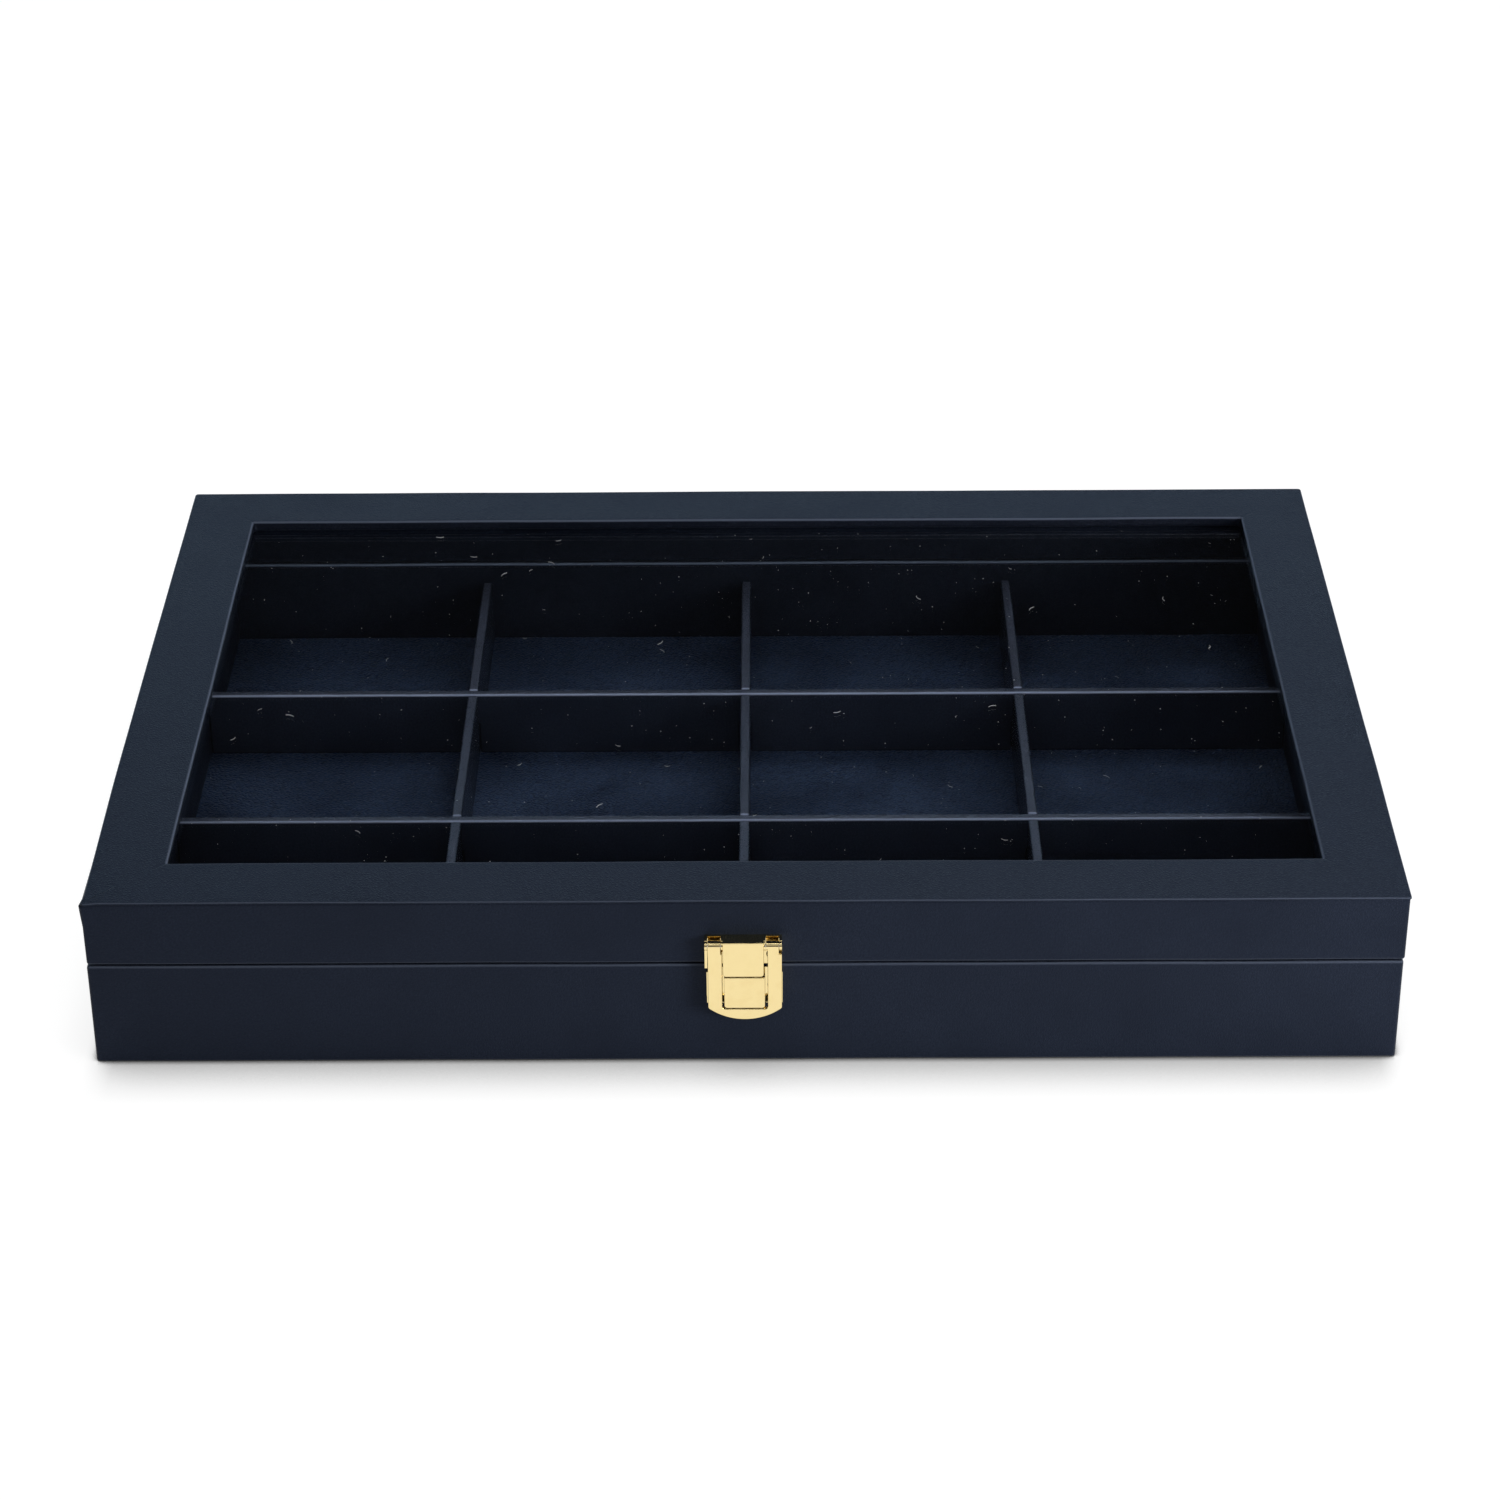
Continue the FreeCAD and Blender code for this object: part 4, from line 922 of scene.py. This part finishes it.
# Studio
studio = {
    "floorHalf": 3.0, "floorGlow": 0.965, "floorShade": 0.16, "floorBounce": 0.30, "surround": 0.006,
    # Painted soft shade round the foot of the case, less of it beside the case than before it, and a thin painted
    # dark line of shade right below it
    "contact": 21 * mm, "contactRange": (0.4, 0.97), "contactDark": 0.28,
    "footShade": 4 * mm, "footShadeRange": (0.45, 0.75), "footShadeDark": 0.02,
    "beside": (0.170, 0.178), "besideClear": 0.75, "shadeSamples": 8,
    "lights": {
        "overhead": {"at": (0.25, 0.5, 1.15), "to": (0, 0, 0), "size": (0.6, 0.45), "watts": 3.9},
        "front": {"at": (0.0, -0.5, 1.1), "to": (0, 0, 0), "size": (1.6, 0.1), "watts": 2.2},
        "card": {"at": (0.0, -1.35, 1.0), "to": (0, -0.1, 0.02), "size": (2.6, 1.16), "watts": 4.0},
        "right": {"at": (0.5, -0.5, 0.19), "to": (0.05, -0.1, 0.03), "size": (0.3, 0.2), "watts": 2.5},
        "horizon": {
            "at": (-0.3, 1.6, 0.42), "to": (0, 0, 0.05), "size": (3.6, 0.34), "watts": 8.3,
            "colour": (0.53, 0.745, 1.0),
        },
    },
    "lens": 91.17, "sensor": 36, "nearest": 0.01, "camera": (7.42 * mm, -958.27 * mm, 588.49 * mm),
    "pitch": 30.399, "yaw": 0.3785, "roll": -0.4433,
}


# White where it is seen or mirrored, apart from the soft shadow,
# and a plain pale grey for the light it sends back
def floorMaterial():
    material = bpy.data.materials.new("studioFloor")
    material.use_nodes = True
    tree = material.node_tree
    tree.nodes.clear()
    rays = addNode(tree, "ShaderNodeLightPath").outputs
    seen = addNode(tree, "ShaderNodeMath", {0: rays["Is Camera Ray"], 1: rays["Is Glossy Ray"]}, operation="MAXIMUM")
    seen = addNode(tree, "ShaderNodeMath", {0: seen.outputs[0], 1: rays["Is Transmission Ray"]}, operation="MAXIMUM")
    bounce, shade = studio["floorBounce"], studio["floorShade"]
    plain = addNode(tree, "ShaderNodeBsdfDiffuse", {"Color": (bounce, bounce, bounce, 1)}).outputs[0]
    lit = addNode(tree, "ShaderNodeBsdfDiffuse", {"Color": (shade, shade, shade, 1)}).outputs[0]
    samples = studio["shadeSamples"]
    nearby = {"Distance": studio["contact"]}
    openness = addNode(tree, "ShaderNodeAmbientOcclusion", nearby, samples=samples).outputs["AO"]
    place = addNode(tree, "ShaderNodeTexCoord").outputs["Object"]
    across = addNode(tree, "ShaderNodeSeparateXYZ", {0: place}).outputs["X"]
    across = addNode(tree, "ShaderNodeMath", {0: across}, operation="ABSOLUTE").outputs[0]
    beside = mapped(tree, across, studio["beside"], (0.0, studio["besideClear"]))
    openness = addNode(tree, "ShaderNodeMix", {0: beside, 2: openness, 3: 1.0}).outputs[0]
    bright = studio["floorGlow"]
    strength = mapped(tree, openness, studio["contactRange"], (studio["contactDark"] * bright, bright))
    # A painted dark line of shade right under the case's foot
    nearby = {"Distance": studio["footShade"]}
    footShade = addNode(tree, "ShaderNodeAmbientOcclusion", nearby, samples=samples).outputs["AO"]
    footShade = mapped(tree, footShade, studio["footShadeRange"], (studio["footShadeDark"], 1.0))
    glow = addNode(tree, "ShaderNodeEmission", {"Strength": multiplied(tree, strength, footShade)}).outputs[0]
    white = addNode(tree, "ShaderNodeAddShader", {0: lit, 1: glow}).outputs[0]
    both = addNode(tree, "ShaderNodeMixShader", {0: seen.outputs[0], 1: plain, 2: white}).outputs[0]
    addNode(tree, "ShaderNodeOutputMaterial", {"Surface": both})
    return material


def buildStudio():
    scene = bpy.context.scene
    half = studio["floorHalf"]
    mesh = bpy.data.meshes.new("floor")
    mesh.from_pydata([(-half, -half, 0), (half, -half, 0), (half, half, 0), (-half, half, 0)], [], [(0, 1, 2, 3)])
    floor = bpy.data.objects.new("floor", mesh)
    scene.collection.objects.link(floor)
    mesh.materials.append(floorMaterial())
    for name, light in studio["lights"].items():
        lamp = bpy.data.lights.new(name, "AREA")
        lamp.shape = "RECTANGLE"
        lamp.size, lamp.size_y = light["size"]
        lamp.energy = light["watts"]
        lamp.color = light.get("colour", (1, 1, 1))
        holder = bpy.data.objects.new(name, lamp)
        holder.location = light["at"]
        aim = Vector(light["to"]) - Vector(light["at"])
        holder.rotation_euler = aim.to_track_quat("-Z", "Y").to_euler()
        scene.collection.objects.link(holder)
    world = bpy.data.worlds.new("studio")
    world.use_nodes = True
    tree = world.node_tree
    rays = addNode(tree, "ShaderNodeLightPath").outputs
    strength = mapped(tree, rays["Is Camera Ray"], (0.0, 1.0), (studio["surround"], 1.0))
    backdrop = tree.nodes["Background"]
    backdrop.inputs["Color"].default_value = (1, 1, 1, 1)
    tree.links.new(strength, backdrop.inputs["Strength"])
    scene.world = world
    scene.view_settings.view_transform = "Standard"
    camera = bpy.data.cameras.new("camera")
    camera.lens = studio["lens"]
    camera.sensor_width = studio["sensor"]
    camera.clip_start = studio["nearest"]
    holder = bpy.data.objects.new("camera", camera)
    pitch, yaw, roll = (math.radians(studio[key]) for key in ("pitch", "yaw", "roll"))
    level = Matrix(((1, 0, 0), (0, math.sin(pitch), math.cos(pitch)), (0, math.cos(pitch), -math.sin(pitch))))
    rows = Matrix.Rotation(-roll, 3, "Z") @ level @ Matrix.Rotation(-yaw, 3, "Z")
    columns = Matrix((rows[0], rows[1], -rows[2])).transposed()
    holder.matrix_world = Matrix.Translation(studio["camera"]) @ columns.to_4x4()
    scene.collection.objects.link(holder)
    scene.camera = holder


buildStudio()
print("studio ready")
